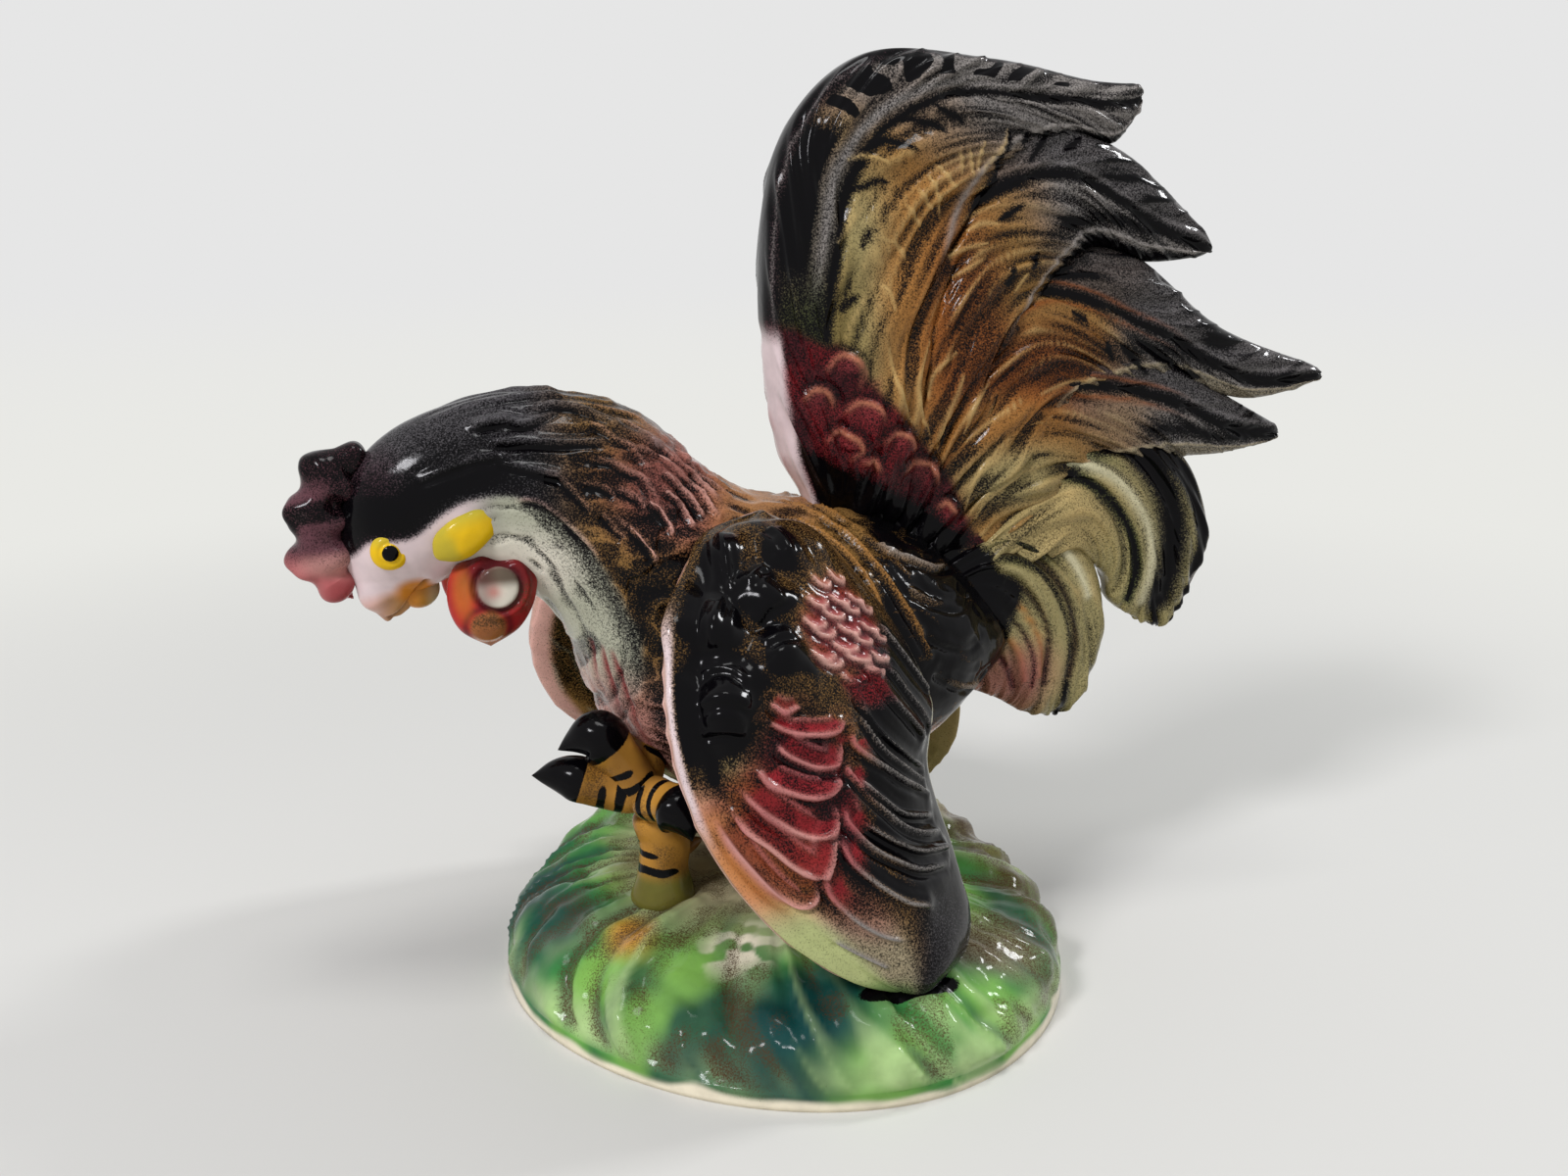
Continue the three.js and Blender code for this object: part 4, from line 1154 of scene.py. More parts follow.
def dress_wing(form):
    """Relief and colours of the outer face, then of the inner face."""
    across, run = (1 - np.cos(form.turn)) / 2, form.run
    outer = ramp(-0.05, 0.15, np.sin(form.turn))
    inner = 1 - outer
    points = form.points.copy()
    swell = np.sin(math.pi * run)
    lump_across, lump_run = np.array(SHOULDER_LUMPS).T
    lumps = form.place(np.arccos(1 - 2 * lump_across), lump_run)
    lumpy = np.max([bell(np.linalg.norm(points - lump, axis=1), LUMP_RADIUS) for lump in lumps], axis=0)
    ridges = [near_line(points, wing_line(form, row), 9.0)[0] for row in FEATHER_ROWS]
    rows = np.max([bell(ridge, ROW_WIDTH) for ridge in ridges], axis=0)
    rolled = bell(across, RIM_SHARE) - bell(across - RIM_GROOVE_SHARE, RIM_SHARE)
    shoulder = outer * ramp(0.05, 0.14, run) * fall(0.42, 0.54, run) * fall(0.36, 0.5, across)
    knit = mottle(points, 4.2)
    form.press(outer * (LUMP_HEIGHT * lumpy + ROW_HEIGHT * rows) + RIM_HEIGHT * rolled * swell * outer)
    ripple = 0.3 * mottle(points, 7, 2) * outer * (1 - shoulder) * ramp(0.1, 0.2, run) * fall(0.8, 0.95, run)
    form.press((0.5 * knit + 1.5 * mottle(points, 8.0, 9) + 1.3 * lumpy) * shoulder - ripple)
    rim = ramp(0.26, 0.36, run) * fall(0.56, 0.66, run) * fall(0.006, 0.020, across)

    # ground colours of the outer face: gold under black dust
    form.tint("gold", 0.74, form.whole)
    inky = spot(across, run, (0.13, 0.455), (0.17, 0.11), 0.3)
    inky = np.maximum(inky, ramp(0.2, 0.5, lumpy + 0.5 * knit) * shoulder)
    inky = np.maximum(inky, spot(across, run, (0.31, 0.345), (0.055, 0.035), 0.4))
    inky = np.maximum(inky, spot(across, run, (0.11, 0.29), (0.09, 0.07), 0.5))
    form.sift(1.0, outer * inky)
    form.spray("sage", outer * spot(across, run, (0.16, 0.525), (0.09, 0.02), 0.8))
    form.sift(0.60, 0.8 * outer * spot(across, run, (0.15, 0.53), (0.10, 0.02), 0.8))
    for fold in SHOULDER_FOLDS:
        edge, _, gap, _ = wing_edge(form, points, fold, 0.7, 2.2, 1.2, 4.4)
        form.sift(0.97, outer * np.clip(edge + gap, 0, 1))
    rear = ramp(0.50, 0.66, across) * ramp(0.25, 0.34, run)
    form.tint("slate", 0.98, rear)
    column = outer * spot(across, run, (0.33, 0.57), (0.17, 0.14), 0.35)
    form.tint("maroon", 0.80, column)
    # front band from blush through orange and green to grey at the tip
    band = fall(0.03, 0.12, across - 0.12 * ramp(0.64, 0.8, run)) * ramp(0.53, 0.6, run)
    form.tint("blush", 0.14, band)
    form.ovals(across, run, [
        ("orange", 0.85 * band, (0.07, 0.66), (0.10, 0.10)),
        ("rust", 0.9 * outer, (0.17, 0.63), (0.13, 0.10)),
        ("crimson", 0.5 * outer, (0.23, 0.61), (0.10, 0.08)),
        (0.42, outer, (0.20, 0.62), (0.12, 0.08)),
    ])
    low = ramp(0.72, 0.79, run) * fall(0.34, 0.52, across)
    form.spray("sand", low * outer)
    form.sift(0.42, low)
    taupe = outer * spot(across, run, (0.30, 0.755), (0.12, 0.05), 0.6)
    form.spray("rose", 0.45 * taupe)
    edge_green = fall(0.08, 0.2, across) * ramp(0.70, 0.78, run)
    form.spray("mint", edge_green)
    form.spray("straw", 0.35 * edge_green)
    form.sift(0.10, edge_green)
    form.spray("leaf", 0.5 * ramp(0.88, 0.93, run) * fall(0.2, 0.45, across))
    tip = ramp(0.40, 0.62, across + 1.2 * (run - 0.8)) * ramp(0.68, 0.78, run)
    form.tint("slate", 0.74, tip)
    form.tint("petal", 0.12, rim)
    form.sift(1.0, outer * bell(across - 0.075, 0.022) * ramp(0.2, 0.28, run) * fall(0.54, 0.6, run))

    # scallops: red vanes with light edges, and painted shade darkening the gaps between
    for line, deep, strong in zip(SCALLOPS, SCALLOP_DEPTHS, SCALLOP_STRENGTHS):
        edge, vane, gap, _ = wing_edge(form, points, line, 0.75, 0.48, 0.8, deep)
        far, under, share = near_line(points, wing_line(form, line))
        brim = bell(far - deep, 0.45) * fall(-0.4, 0.4, under) * faded_ends(share)
        form.press(0.35 * brim)
        form.spray("crimson", strong * vane)
        form.sift(0.30 + 0.3 * ramp(-0.2, 0.6, mottle(points, 3, 7)), vane)
        # painted shade in the gap under each scallop's edge
        form.sift(0.88, gap * fall(0.60, 0.66, run))
        form.spray("rose", np.clip(edge + 0.6 * brim, 0, 1))
        form.sift(0.25, 0.8 * brim)
        form.spray("blush", edge * (0.25 + 0.35 * ramp(0.57, 0.66, run)))
        form.wipe(0.9 * edge)
    above_tip = fall(0.7, 0.76, run)
    for line in FLIGHT_LINES:
        edge, vane, gap, share = wing_edge(form, points, line, 0.7, 0.45, 0.8, 3.4)
        start = fall(0.2, 0.55, share)
        form.tint("crimson", 0.3, vane * start)
        form.sift(1.0, vane * (1 - start) * above_tip)
        # painted shade in the gap under each flight feather's edge
        form.sift(0.95, gap * above_tip)
        form.spray("rose", edge * start)
        form.spray("ash", edge * (1 - start))
        form.wipe(edge * (0.9 - 0.35 * (1 - start)))
    for line in PRIMARY_LINES:
        edge, vane, gap, _ = wing_edge(form, points, line, 0.7, 0.42, 0.8)
        form.spray("ash", edge)
        form.wipe(0.55 * edge)
        # painted shade in the gap under each primary's edge
        form.sift(1.0, gap * above_tip)
        form.sift(1.0, 0.9 * vane * above_tip)

    # patch of small pink scales behind the shoulder
    patch = outer * spot(across, run + 0.12 * (across - 0.57), (0.575, 0.303), (0.19, 0.060), 0.35)
    form.spray("crimson", 0.9 * patch)
    form.sift(0.45, patch)
    for row, step in itertools.product(range(PATCH_ROWS), range(PATCH_STEPS)):
        sway = 0.012 * math.sin(9.7 * row + 5.3 * step)
        start = 0.385 + 0.105 * step + 0.045 * (row % 2) + sway
        level = 0.247 + 0.0215 * row - 0.12 * (start - 0.5) + 0.5 * sway
        if not 0.37 < start < 0.72 or (row in (0, PATCH_ROWS - 1) and step in (0, PATCH_STEPS - 1)):
            continue
        scale = [(start + right, level + down) for right, down in SCALE_LINE]
        edge, vane, gap, _ = wing_edge(form, points, scale, 0.45, 0.42, 0.45, 1.5)
        form.spray("rose", 0.45 * vane)
        form.sift(0.08, vane)
        # painted shade in maroon and dark dust in the gap under each small scale
        form.spray("maroon", 0.8 * gap)
        form.sift(0.5, 0.7 * gap)
        form.spray("blush", 0.9 * edge)
        form.wipe(0.95 * edge)
    under_patch = outer * spot(across, run, (0.60, 0.395), (0.09, 0.025), 0.5)
    form.tint("crimson", 0.6, under_patch)

    # the rear edge shows cream where the glaze ran off it
    hem = ramp(0.965, 0.995, across) * ramp(0.2, 0.3, run) * fall(0.8, 0.9, run)
    form.spray("cream", hem)
    form.wipe(hem)

    # inner face: flight feathers fan down in brown and gold
    quill = np.sin(TURN * QUILLS * across)
    form.press(QUILL_HEIGHT * quill * swell * inner * (np.sin(form.turn) < 0))
    barbs = (0.8 - 1.8 * np.abs(grain(run * 22 - across * 12, across * 22, 8))) * inner * swell
    form.press(0.35 * barbs)
    form.spray("gold", inner)
    form.spray("brown", 0.5 * inner * ramp(-0.2, 0.7, -quill))
    form.spray("gold", 0.6 * inner * ramp(0.0, 0.6, barbs))
    form.spray("cream", 0.7 * inner * ramp(0.35, 0.8, barbs) * fall(0.2, 0.5, across))
    form.sift(0.08, inner * ramp(-0.9, 0.6, -quill))
    form.tint("blush", 0.1, inner * fall(0.03, 0.06, across))
    form.sift(0.9, inner * bell(across - 0.12, 0.02))
    form.spray("sage", 0.7 * inner * ramp(0.86, 0.97, across))


wing_glaze = glaze_material("wing_glaze")
for (word, out), stations in zip(SIDES, (LEFT_WING, RIGHT_WING)):
    wing = Form(300, 320, wing_place(stations, out))
    dress_wing(wing)
    wing.finish(f"pressed_wing_{word}", wing_glaze, "wing_glaze", f"wing_{word}")


# Tail
BLUNT_SHARE = 0.05


def blade_place(rows):
    """A flat blade between its outer and inner edges, rounded off over the last share of its run."""
    def place(turn, run):
        outer_x, outer_z, inner_x, inner_z, thick, _ = between(rows, run).T
        blunt = np.sqrt(1 - np.clip((run - (1 - BLUNT_SHARE)) / BLUNT_SHARE, 0, 1) ** 2)
        across = 0.5 - squared(np.cos(turn), 0.75) * blunt / 2
        depth = thick * squared(np.sin(turn), 0.75) * blunt
        x = outer_x + (inner_x - outer_x) * across
        z = outer_z + (inner_z - outer_z) * across
        return np.stack([x, depth, z], 1)
    return place


def dress_feather(form, name):
    """Barbs sweeping from a sunk shaft, then the airbrushed colours and the brushed strokes."""
    rows = np.array(TAIL[name], float)
    middles = (rows[:, :2] + rows[:, 2:4]) / 2
    length = np.linalg.norm(np.diff(middles, axis=0), axis=1).sum()
    x, z = form.points[:, 0], form.points[:, 2]
    flat = np.stack([x, np.zeros(len(x)), z], 1)
    run = form.run
    outer_x, outer_z, inner_x, inner_z, thick, shaft = between(rows, run).T
    width = np.hypot(inner_x - outer_x, inner_z - outer_z)
    across = (1 - squared(np.cos(form.turn), 0.75)) / 2
    broad = ramp(0.1, 0.4, np.abs(np.sin(form.turn)))
    bow = 0.09 * bell(z - 98, 16) * (name == "sickle")
    aside = (across - shaft + bow) * width
    inked = across / np.maximum(shaft - bow, 0.1)
    curl = name.endswith("curl")

    # the cast's own barbs and shaft, standing out from both faces
    waves, bands = (0, CURL_BANDS) if curl else (length / BARB_SPACING, BARB_SWEEP)
    barb = BARB_HEIGHT * np.cos(TURN * (waves * run - bands * np.abs(across - shaft)))
    groove = SHAFT_GROOVE * bell(across - shaft, SHAFT_SHARE)
    form.points[:, 1] += (barb - groove) * np.sin(form.turn) * np.minimum(thick / FULL_FEATHER, 1)
    form.settle()
    # finer streaks run out from the shaft towards the tip
    lean = math.radians(7 if curl else 24)
    along = run * length
    inward = np.abs(aside)
    slip = along * math.sin(lean) - inward * math.cos(lean)
    reach = along * math.cos(lean) + inward * math.sin(lean)
    carved = 0.55 - 1.7 * np.abs(grain(reach / 15, slip / 2.3, 3))
    barb_row = slip / 3.1 + 0.8 * grain(reach / 13, slip / 7, 9)
    thin = 1 - 2 * np.abs(np.sin(math.pi * barb_row)) ** 0.7
    ribbed = (0.15 if curl else 0.45) * thin * ramp(0.08, 0.18, run)
    fine = 0.75 * carved + 0.45 * grain(reach / 7, slip / 0.9, 5) + ribbed
    calm = 1 - 0.7 * ramp(0.62, 0.82, run) * (not curl)
    lips = bell(inward - 2.3, 0.6) * broad
    form.press(broad * calm * (0.72 * fine + 0.35 * lips))

    streak = ramp(0.1, 0.9, fine)
    valley = ramp(0.0, 0.7, -fine)
    form.tint("gold", 0.30, form.whole)
    form.ovals(x, z, [
        ("sage", 0.9, (9, 106), (9, 20)),
        ("olive", 0.8, (5, 98), (7, 18)),
        ("tan", 1, (23, 104), (8, 20)),
        ("rust", 0.8, (31, 96), (8, 22)),
        ("rust", 0.9, (47, 89), (15, 9)),
    ])
    form.sift(0.62, spot(x, z, (33, 100), (6, 16)) + spot(x, z, (50, 92), (12, 5)))
    form.spray("tan", 0.7 * spot(x, z, (40, 79), (12, 6)))
    form.spray("sage", 0.8 * spot(x, z, (43, 70), (11, 6)))
    if curl:
        form.spray("sage", form.whole)
        form.spray("straw", 0.5 * spot(x, z, (52, 62), (14, 9)))
        form.sift(0.30, form.whole)
    form.sift(0.58 if curl else 0.80, 0.9 * valley)
    form.spray("straw", 0.5 * streak * fall(0.5, 0.66, run))
    form.sift(0.14, 0.75 * streak * fall(0.5, 0.7, run))

    # smoke towards the tips, black along the shaft, and painted shade as black under the lower edge
    smoke = ramp(0.42, 0.64, run + 0.08 * mottle(flat, 14, 2)) * (not curl)
    form.tint("ash", 0.46, smoke)
    form.sift(0.84, smoke * 0.85 * valley)
    form.sift(0.66, smoke * ramp(0.86, 0.98, run))
    outward = ramp(-1.0, 1.0, -aside)
    if not curl:
        shade = outward * ramp(0.2, 0.34, run) * (1 if name != "sickle" else 1 - ramp(0.4, 0.5, run))
        form.spray("slate", 0.7 * shade)
        form.sift(0.56, shade)
        form.sift(0.98, shade * ramp(0.05, 0.55, mottle(flat, 9, 4) + 0.5 * fine))
    form.sift(1.0, bell(inward, 1.0 if curl else 1.5) * broad * ramp(0.14, 0.26, run))
    if name in ("third", "fourth"):
        form.spray("rust", 0.8 * bell(inward - 2.1, 0.6) * fall(0.55, 0.7, run))
    form.wipe(0.4 * bell(inward - 2.2, 0.5) * broad)
    lower = ramp(0.87, 0.93, across) * ramp(0.12, 0.25, run)
    lip = bell(across - 0.845, 0.018) * ramp(0.3, 0.42, run) * broad
    gloss = bell(across - 0.70, 0.11) * ramp(0.42, 0.58, run) * ramp(-0.6, 0.3, mottle(flat, 8, 13))
    if not curl:
        form.sift(0.96, 0.9 * gloss * (name != "sickle"))
        if name in ("sickle", "second", "third"):
            # painted shade: black along the lower edge, for the shadow under the feather's undercut rim
            form.sift(1.0, lower * (ramp(0.40, 0.55, run) if name == "third" else 1))
        form.press(0.35 * lip)
        form.spray("ash" if name in ("sickle", "second") else "sand", 0.8 * lip)
        form.wipe(0.6 * lip)
    if name in ("third", "fourth"):
        pale_rim = ramp(0.82, 0.90, across) * ramp(0.3, 0.42, run)
        form.spray("sand", 0.7 * pale_rim)
        form.sift(0.50, pale_rim)

    if name == "sickle":
        # black margin with a grey line beside the shaft, broken into dashes above
        margin = ramp(0.03, 0.06, across) * fall(0.54, 0.66, inked)
        margin = margin * ramp(0.24, 0.34, run)
        wave = np.sin(run * 125 + 3.4 * mottle(flat, 4, 6) + across * 22)
        dash = ramp(-0.1, 0.3, wave - 2.2 * ramp(0.72, 0.9, run))
        form.sift(1.0, margin * fall(0.44, 0.5, run))
        form.brush(margin * dash * ramp(0.44, 0.5, run))
        grey = bell(inked - 0.78, 0.11) * ramp(0.26, 0.36, run)
        form.tint("ash", 0.50, grey)
        green = outward * fall(0.26, 0.34, run)
        form.spray("moss", 0.6 * green)
        form.sift(0.82, green)
        front = fall(0.03, 0.08, across)
        breast = front * fall(95, 100, z)
        form.press(0.9 * mottle(form.points, 6, 7) * breast)
        form.ink_and_shade *= 1 - front
        edge_on = front * ramp(94, 99, z)
        form.tint("plum", 0.90, edge_on)
        hairline = bell(across - 0.03, 0.008) * fall(0.5, 0.6, run) * broad
        form.spray("ash", 0.6 * hairline)
        form.sift(0.6, hairline)
    if name == "curl":
        rim = fall(0.15, 0.22, across) * ramp(0.33, 0.45, run) * broad
        form.spray("moss", 0.5 * spot(x, z, (50, 73), (12, 4)))
        for line, wide, colour, dust_and_shade in CURL_BRUSHED:
            far, _, share = near_line(flat, in_side_view(line), 12)
            band = bell(far, wide) * broad * ramp(0.02, 0.3, share)
            form.press((0.5 if colour == "cream" else -0.4) * bell(far, min(wide, 1.3)) * broad)
            form.spray(colour, 0.85 * band)
            form.sift(dust_and_shade, band)
        outer_rim = fall(0.02, 0.06, across) * ramp(0.45, 0.6, run)
        form.sift(1.0, rim)
        form.tint("ash", 0.4, outer_rim)
        form.sift(0.97, spot(x, z, (55, 76.5), (14, 2.4), 0.8))
    if name == "lower_curl":
        form.spray("moss", 0.55 * spot(x, z, (47, 56), (7, 4)))
        form.sift(0.80, spot(x, z, (47, 56.5), (7, 3)))
        for colour, wide, line in LOWER_LINES:
            far = near_line(flat, in_side_view(line), 8)[0]
            band = bell(far, wide) * broad
            raised = colour not in ("umber", "maroon")
            form.press((0.35 if raised else -0.35) * band)
            form.spray(colour, 0.9 * band)
            form.sift(0.12 if raised else 0.62, band)
        form.spray("rose", 0.45 * spot(x, z, (44, 31), (9, 7)))

    # painted shade: black strokes for the shadows in the tail's grooves
    for line in TAIL_SHADE_STROKES:
        form.sift(0.98, stroke(flat, in_side_view(line), 0.85) * broad)
    for line in TAIL_PALE:
        mark = stroke(flat, in_side_view(line), 0.42) * broad
        form.press(0.4 * mark)
        form.spray("straw", 0.6 * mark)
        form.wipe(0.7 * mark)

    # crimson coverts at the root, black below them
    root = fall(-1.2, 1.2, past_line(x, z, COVERT_TOP) + 0.8 * mottle(flat, 5, 9))
    root = root * ramp(54, 58, z) * (name != "lower_curl")
    form.tint("maroon", 0.58, root)
    form.spray("crimson", 0.8 * root * ramp(-0.2, 0.6, mottle(flat, 6, 5)))
    for line in COVERT_ARCS:
        far, under, share = near_line(flat, in_side_view(line), 8)
        ends = np.sin(math.pi * np.clip(share, 0.03, 0.97)) ** 0.5
        edge = bell(far, 0.55) * ends * broad
        inside = fall(2.0, 4.5, far) * ramp(0.2, 0.6, under) * ends * broad
        outside = bell(far - 1.3, 0.7) * fall(-0.4, 0.4, under) * ends * broad
        form.press(0.7 * edge + 0.2 * inside - 0.4 * outside)
        form.spray("crimson", 0.5 * inside)
        form.spray("rose", 0.18 * inside)
        form.sift(0.48, 0.8 * inside)
        form.sift(0.85, 0.7 * outside)
        form.spray("rose", edge)
        form.spray("tan", 0.5 * edge)
        form.wipe(0.75 * edge)
    foot = fall(-1.5, 1.5, past_line(x, z, COVERT_FOOT) + 1.2 * mottle(flat, 4, 11))
    foot = foot * fall(33, 39, x + 0.4 * (60 - z))
    form.sift(1.0, foot)
    if name == "sickle":
        form.spray("petal", breast)
        form.spray("rose", 0.35 * breast * ramp(0.0, 0.6, mottle(form.points, 6, 7)))
        form.sift(0.0, breast)
    if name == "lower_curl":
        form.spray("rose", 0.5 * fall(30, 40, z) * fall(46, 52, x))
        rump = ramp(-1.5, 1.5, past_line(x, z, RUMP_EDGE) + 1.4 * mottle(flat, 4, 12))
        form.sift(1.0, 1 - rump)


tail_glaze = glaze_material("tail_glaze", mottling=0.45)
for name, rows in TAIL.items():
    feather = Form(240, 300, blade_place(rows))
    dress_feather(feather, name)
    feather.finish(f"{name}_feather", tail_glaze, "tail_glaze", "tail_fan")


# Legs and raised foot
LIMB_SIDE_WAY = (0.31, 0.9, 0.3)


def limb_place(path):
    """A round limb along a path of x, y, z and radius."""
    def place(turn, run):
        x, y, z, radius = between(path, run).T
        way = unit(heading(path, run)[:, :3])
        aside = unit(np.cross(LIMB_SIDE_WAY, way))
        upward = np.cross(way, aside)
        radius = np.maximum(radius, 0) * ((run > 0) & (run < 1))
        return (
            np.stack([x, y, z], 1)
            + aside * (radius * np.cos(turn))[:, None]
            + upward * (radius * np.sin(turn))[:, None]
        )
    return place


leg_glaze = glaze_material("leg_glaze", dust_and_shade="umber", mottling=0.45)


def make_limb(path, claw=1.1, bands=(), ground="amber"):
    """A lumpy limb in speckled brown, with dark bands across it and ink from claw to its tip."""
    limb = Form(72, 120, limb_place(path), ground)
    limb.press(0.35 * mottle(limb.points, 3.4) * np.sin(math.pi * limb.run))
    limb.press(0.5 * mottle(limb.points, 5.5, 7) * np.sin(math.pi * limb.run))
    limb.spray("brown", 0.6 * ramp(-0.3, 0.7, mottle(limb.points, 5, 2)))
    limb.sift(0.46, ramp(-0.1, 0.7, mottle(limb.points, 4, 3)))
    limb.brush(ramp(claw - 0.03, claw + 0.03, limb.run))
    for at, wide in bands:
        half = ramp(-0.3, 0.5, np.sin(limb.turn + 9 * at))
        limb.brush(bell(limb.run - at + 0.012 * mottle(limb.points, 2.5, 5), 1.4 * wide) * half)
    return limb


shank = make_limb(LEFT_SHANK, bands=((0.42, 0.02), (0.52, 0.02), (0.62, 0.018), (0.70, 0.02)))
shank.spray("orange", 0.6 * fall(0.3, 0.45, shank.run))
shank.spray("moss", 0.8 * fall(0.34, 0.46, shank.run))
shank.finish("left_shank", leg_glaze, "leg_glaze", "left_leg")
spur = make_limb(LEFT_SPUR, ground="brown")
spur.finish("left_spur", leg_glaze, "leg_glaze", "left_leg")
for name, path in LEFT_TOES.items():
    if name == "foot_root":
        toe = make_limb(path, 2.0, ((0.3, 0.02), (0.5, 0.02), (0.7, 0.02)))
    else:
        toe = make_limb(path, 0.60, ((0.34, 0.02), (0.44, 0.02)))
    toe.finish(f"left_{name}", leg_glaze, "leg_glaze", "left_foot")
right = make_limb(RIGHT_SHANK, bands=((0.35, 0.02), (0.45, 0.02)))
right.finish("right_shank", leg_glaze, "leg_glaze", "right_leg")
root_x, root_y = RIGHT_TOE_ROOT
for number, (tip_x, tip_y) in enumerate(RIGHT_TOE_TIPS):
    middle = ((tip_x + root_x) / 2, (tip_y + root_y) / 2, 1.2, 2.5)
    path = [(root_x, root_y, 1, 0), (6, root_y, 1.6, 2.5), middle, (tip_x, tip_y, 0, 0)]
    toe = make_limb(path, claw=0.82)
    toe.finish(f"right_toe_{number}", leg_glaze, "leg_glaze", "right_leg")


# Mound
# Centres and reaches of the mound's dark and light tufts: x, y
DARK_TUFTS = [
    ((-47, -12), (9, 12)), ((-30, -51), (10, 7)), ((-17, -59), (12, 6)), ((-6, -64), (12, 5)),
    ((36, -32), (7, 12)), ((21, -44), (8, 6)), ((-12, -56), (8, 6)), ((-2, -50), (14, 5)),
    ((-50, 5), (6, 10)), ((46, 2), (5, 14)), ((-38, -40), (5, 6)), ((40, 20), (9, 12)),
    ((-44, 25), (7, 8)), ((5, 46), (14, 6)),
]
LIGHT_TUFTS = [
    ((-39, -46), (5, 4)), ((-43, -33), (6, 5)), ((-28, -41), (8, 5)), ((-1, -64), (8, 4)),
    ((19, -55), (7, 5)),
]
# The hollow underside and the foot ring end at these shares of the skin's run
HOLLOW_SHARE, FOOT_SHARE = 0.20, 0.22


def mound_place(turn, run):
    """Hollow underside, flat foot ring, flank and plateau in one skin."""
    inside = fall(HOLLOW_SHARE, FOOT_SHARE, run)
    outside = np.clip((1 - run) / (1 - FOOT_SHARE), 0, 1)
    slope = np.where(run < HOLLOW_SHARE, run / HOLLOW_SHARE, outside) * math.pi / 2
    reach = np.sin(slope) ** (2 / MOUND_SHOULDER)
    rise = np.clip(np.cos(slope), 0, 1) ** (2 / MOUND_SHOULDER)
    across, front = np.cos(turn), np.sin(turn)
    corner = (np.abs(across) ** MOUND_CORNER + np.abs(front) ** MOUND_CORNER) ** (-1 / MOUND_CORNER)
    inset = WALL * inside
    oval_x = (MOUND_LENGTH / 2 - inset) * reach * corner * across
    oval_y = (MOUND_WIDTH / 2 - inset) * reach * corner * front
    x = oval_x * math.cos(MOUND_TURN) - oval_y * math.sin(MOUND_TURN) + MOUND_CENTRE[0]
    y = oval_x * math.sin(MOUND_TURN) + oval_y * math.cos(MOUND_TURN) + MOUND_CENTRE[1]
    lump = 0
    for lump_x, lump_y, high, wide in LUMPS:
        lump = lump + high * np.exp(-((x - lump_x) ** 2 + (y - lump_y) ** 2) / wide**2)
    height = (MOUND_TOP - inset + lump) * rise
    return np.stack([x, y, height - MOUND_TOP], 1)


mound = Form(384, 250, mound_place, "leaf")
x, y, z = mound.points.T
height = z + MOUND_TOP
flank = ramp(2.0, 5.0, height) * (mound.run > 0.25)
slope = flank * fall(17.0, 19.5, height)
bent = mound.turn + 0.014 * height
reach = np.hypot(x, y)
tufts = mottle(np.stack([15 * np.cos(bent), 15 * np.sin(bent), height / 8 + reach / 30], 1), 1.0, 2)
folds = mottle(np.stack([8 * np.cos(bent), 8 * np.sin(bent), height / 12], 1), 1.0, 5)
lumpy = mottle(mound.points, 9, 3) + 0.5 * mottle(mound.points, 5, 6)
blades = 0.6 * tufts + 0.9 * folds
wrinkle = np.stack([17 * np.cos(bent), 17 * np.sin(bent), height / 9 + reach / 22], 1)
creases = 0.6 - 1.9 * np.abs(mottle(wrinkle, 1.3, 8))
mound.press(
    (1.1 * blades + 0.8 * creases - 0.1) * slope
    + 1.0 * lumpy * flank
    + 0.35 * mottle(mound.points, 2.6, 4) * flank
)
wide = np.stack([x, y], 1)
drift_x, drift_y = x + 3 * lumpy + 2.5 * creases, y + 3 * folds + 1.5 * creases
drift = np.stack([drift_x, drift_y], 1)
mound.spray("lime", 0.8 * ramp(-0.1, 0.5, mottle(drift, 13, 1)))
mound.spray("mint", 0.6 * ramp(0.1, 0.6, mottle(drift, 9, 2)))
mound.spray("mint", 0.85 * flank * fall(4.5, 10.0, height + 2 * lumpy))
for spots, colour, share in ((DARK_TUFTS, "teal", 0.85), (LIGHT_TUFTS, "lime", 0.75)):
    mound.ovals(drift_x, drift_y, [(colour, share, centre, reach) for centre, reach in spots])
pale_foot = flank * fall(4.0, 9.5, height + 2 * lumpy) * ramp(-0.5, 0.2, mottle(wide, 15, 14))
mound.spray("mint", 0.6 * pale_foot)
top = ramp(16.5, 19.0, height)
mound.spray("teal", 0.35 * slope * ramp(0.1, 0.8, mottle(wide, 13, 11)))
mound.spray("sand", 0.95 * top * spot(x, y, (-12, -16), (30, 32), 0.4))
mound.spray("olive", 0.5 * top * ramp(0.0, 0.7, mottle(wide, 9, 6)))
mound.spray("leaf", 0.5 * top * spot(x + 4 * lumpy, y, (-24, -36), (14, 9), 0.7))
mound.spray("olive", 0.8 * spot(x, y, (42, -2), (9, 22), 0.7))
mound.spray("orange", 0.8 * spot(x, y, (-35, -27), (4, 6), 0.6))
mound.spray("clay", 0.95 * spot(x, y, (-18, -39), (6, 5.5), 0.7) * ramp(-0.3, 0.2, mottle(wide, 2.2, 13)))
mound.spray("sand", 0.85 * spot(x, y, (38, 14), (8, 9), 0.6))
mound.sift(0.42, flank * ramp(0.1, 0.6, mottle(wide, 5, 8)))
mound.sift(0.42, top * ramp(0.1, 0.7, mottle(wide, 6, 9)))
mound.sift(0.66, ramp(0.0, 0.7, spot(x, y, (44, -8), (10, 22), 0.7) * (0.6 + lumpy)))
mound.ovals(drift_x, drift_y, [
    ("sand", 0.6, (25, -42), (9, 7), 0.7),
    (0.60, 0.9, (27, -41), (9, 7), 0.7),
    (0.55, 0.9, (-22, -52), (5, 9), 0.7),
])
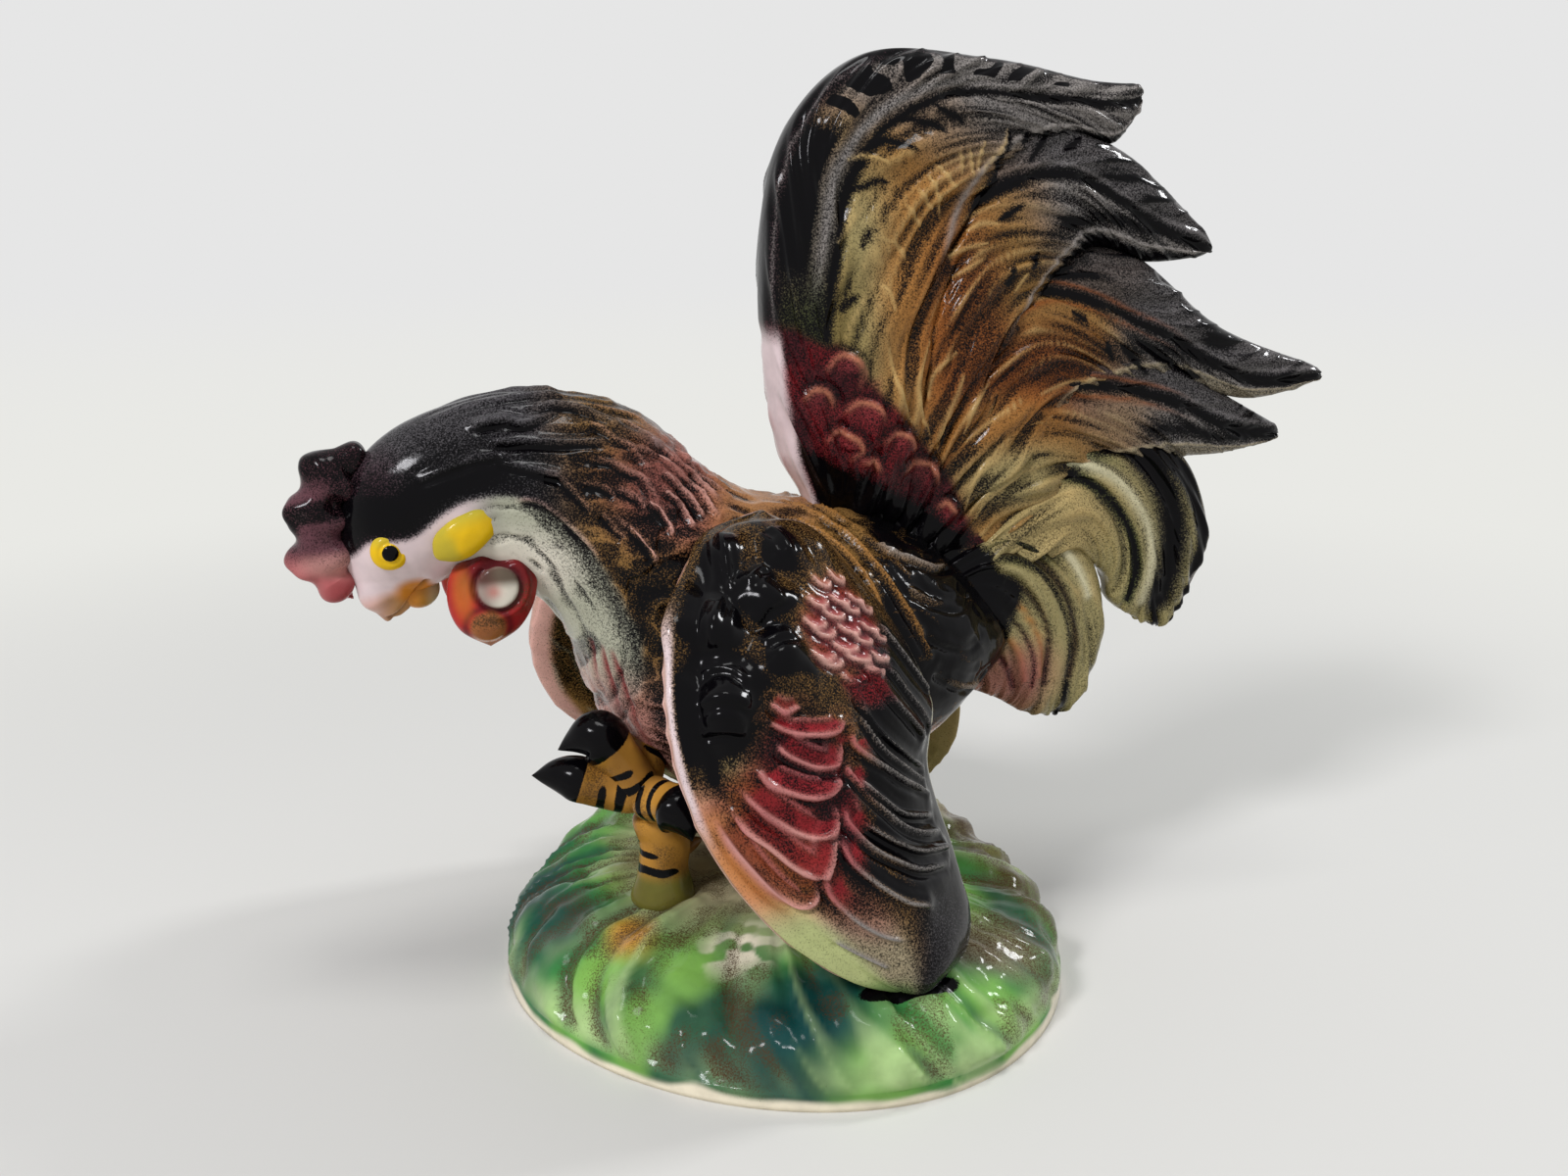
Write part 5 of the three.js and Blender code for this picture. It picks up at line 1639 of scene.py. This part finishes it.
# painted shadow: a black mark on the flank just under the wing tip, where the wing meets the mound
mound.brush(spot(x, y - 0.1 * x, (6.5, -55.8), (9, 2.2), 0.3) * (height > 5))
mound.sift(0.60, 0.9 * slope * ramp(0.1, 0.7, -blades - 0.6 * creases))
mound.spray("teal", 0.5 * slope * ramp(0.2, 0.9, -creases))
mound.spray("mint", 0.6 * slope * ramp(0.3, 1.0, blades + 0.5 * creases))
ragged = height + 1.2 * lumpy + 1.2 * mottle(wide, 14, 12)
bare = np.maximum(fall(0.6, 1.9, ragged), fall(0.21, 0.24, mound.run))
mound.tint("clay", 0.0, bare)
mound_glaze = glaze_material("mound_glaze", dust_and_shade="umber", mottling=0.4)
mound.finish("grassy_mound", mound_glaze, "mound_glaze", "base_mound")


# Studio
BACKDROP = (*glaze_colour("E6E6E6"), 1)
FLOOR_RADIUS = 4.0


def backdrop_light(tree, strength):
    """1 where the camera, a mirror or a clear glaze looks, else 0, times a strength."""
    rays = tree.nodes.new("ShaderNodeLightPath")
    seen = sum_node(tree, "MAXIMUM", rays.outputs["Is Camera Ray"], rays.outputs["Is Glossy Ray"])
    seen = sum_node(tree, "MAXIMUM", seen, rays.outputs["Is Transmission Ray"])
    return sum_node(tree, "MULTIPLY", seen, strength)


def floor_material():
    """Pale paper, lit near the figurine and running into an even backdrop behind it."""
    material = bpy.data.materials.new("floor_paper")
    material.use_nodes = True
    tree = material.node_tree
    shader = tree.nodes["Principled BSDF"]
    feed(tree, shader, {"Base Color": (*glaze_colour("CDCCC7"), 1), "Roughness": 0.6})
    place = tree.nodes.new("ShaderNodeTexCoord").outputs["Object"]
    far = add_node(tree, "VectorMath", {0: place}, "Value", operation="LENGTH")
    tone = mix_node(tree, step_node(tree, far, 0.5, 1.6), (*glaze_colour("E9E9E5"), 1), BACKDROP)
    glow = add_node(tree, "Emission", {"Color": tone})
    seen = backdrop_light(tree, step_node(tree, far, 0.16, 0.46))
    surface = add_node(tree, "MixShader", {0: seen, 1: shader.outputs[0], 2: glow})
    feed(tree, tree.nodes["Material Output"], {"Surface": surface})
    return material


sheet = bmesh.new()
bmesh.ops.create_circle(sheet, cap_ends=True, segments=96, radius=FLOOR_RADIUS)
floor_mesh = bpy.data.meshes.new("floor")
sheet.to_mesh(floor_mesh)
sheet.free()
floor = bpy.data.objects.new("floor", floor_mesh)
floor.data.materials.append(floor_material())
bpy.context.scene.collection.objects.link(floor)

world = bpy.context.scene.world or bpy.data.worlds.new("studio")
bpy.context.scene.world = world
world.use_nodes = True
tree = world.node_tree
sky = tree.nodes["Background"]
feed(tree, sky, {"Color": (0.92, 0.95, 1.0, 1), "Strength": 0.40})
paper = add_node(tree, "Background", {"Color": BACKDROP})
surface = add_node(tree, "MixShader", {0: backdrop_light(tree, 1.0), 1: sky.outputs[0], 2: paper})
feed(tree, tree.nodes["World Output"], {"Surface": surface})


def lamp(name, place, aim, size, power, colour=(1, 1, 1)):
    """A rectangular lamp at place, turned to aim."""
    data = bpy.data.lights.new(name, "AREA")
    data.shape = "RECTANGLE"
    data.size, data.size_y = size
    data.energy = power
    data.color = colour
    light = bpy.data.objects.new(name, data)
    light.location = place
    way = np.subtract(aim, place)
    tilt = math.acos(-way[2] / np.linalg.norm(way))
    light.rotation_euler = (tilt, 0, math.atan2(way[1], way[0]) - math.pi / 2)
    bpy.context.scene.collection.objects.link(light)


lamp("window", (-0.75, -0.55, 0.85), (0, 0, 0.08), (0.26, 0.20), 9.8, (0.97, 0.96, 1.0))
lamp("right_panel", (0.9, 0.2, 0.75), (0, 0, 0.08), (0.18, 0.16), 4.8, (0.97, 0.98, 1))
lamp("overhead", (0.0, -0.1, 1.2), (0, 0, 0.05), (0.3, 0.3), 3.6)

# The camera's place in millimetres, its tilt, turn and view in degrees, its sensor in millimetres
CAMERA_X, CAMERA_Y, CAMERA_HEIGHT = -78.2, -291.7, 150
CAMERA_TILT, CAMERA_TURN, CAMERA_VIEW, SENSOR = 75, -15, 50, 36
camera_data = bpy.data.cameras.new("camera")
camera_data.sensor_width = SENSOR
camera_data.lens = SENSOR / 2 / math.tan(math.radians(CAMERA_VIEW / 2))
camera = bpy.data.objects.new("camera", camera_data)
camera.location = [(CAMERA_X + SHIFT[0]) * MM, (CAMERA_Y + SHIFT[1]) * MM, CAMERA_HEIGHT * MM]
camera.rotation_euler = (math.radians(CAMERA_TILT), 0, math.radians(CAMERA_TURN))
bpy.context.scene.collection.objects.link(camera)
bpy.context.scene.camera = camera
bpy.context.scene.view_settings.view_transform = "Standard"
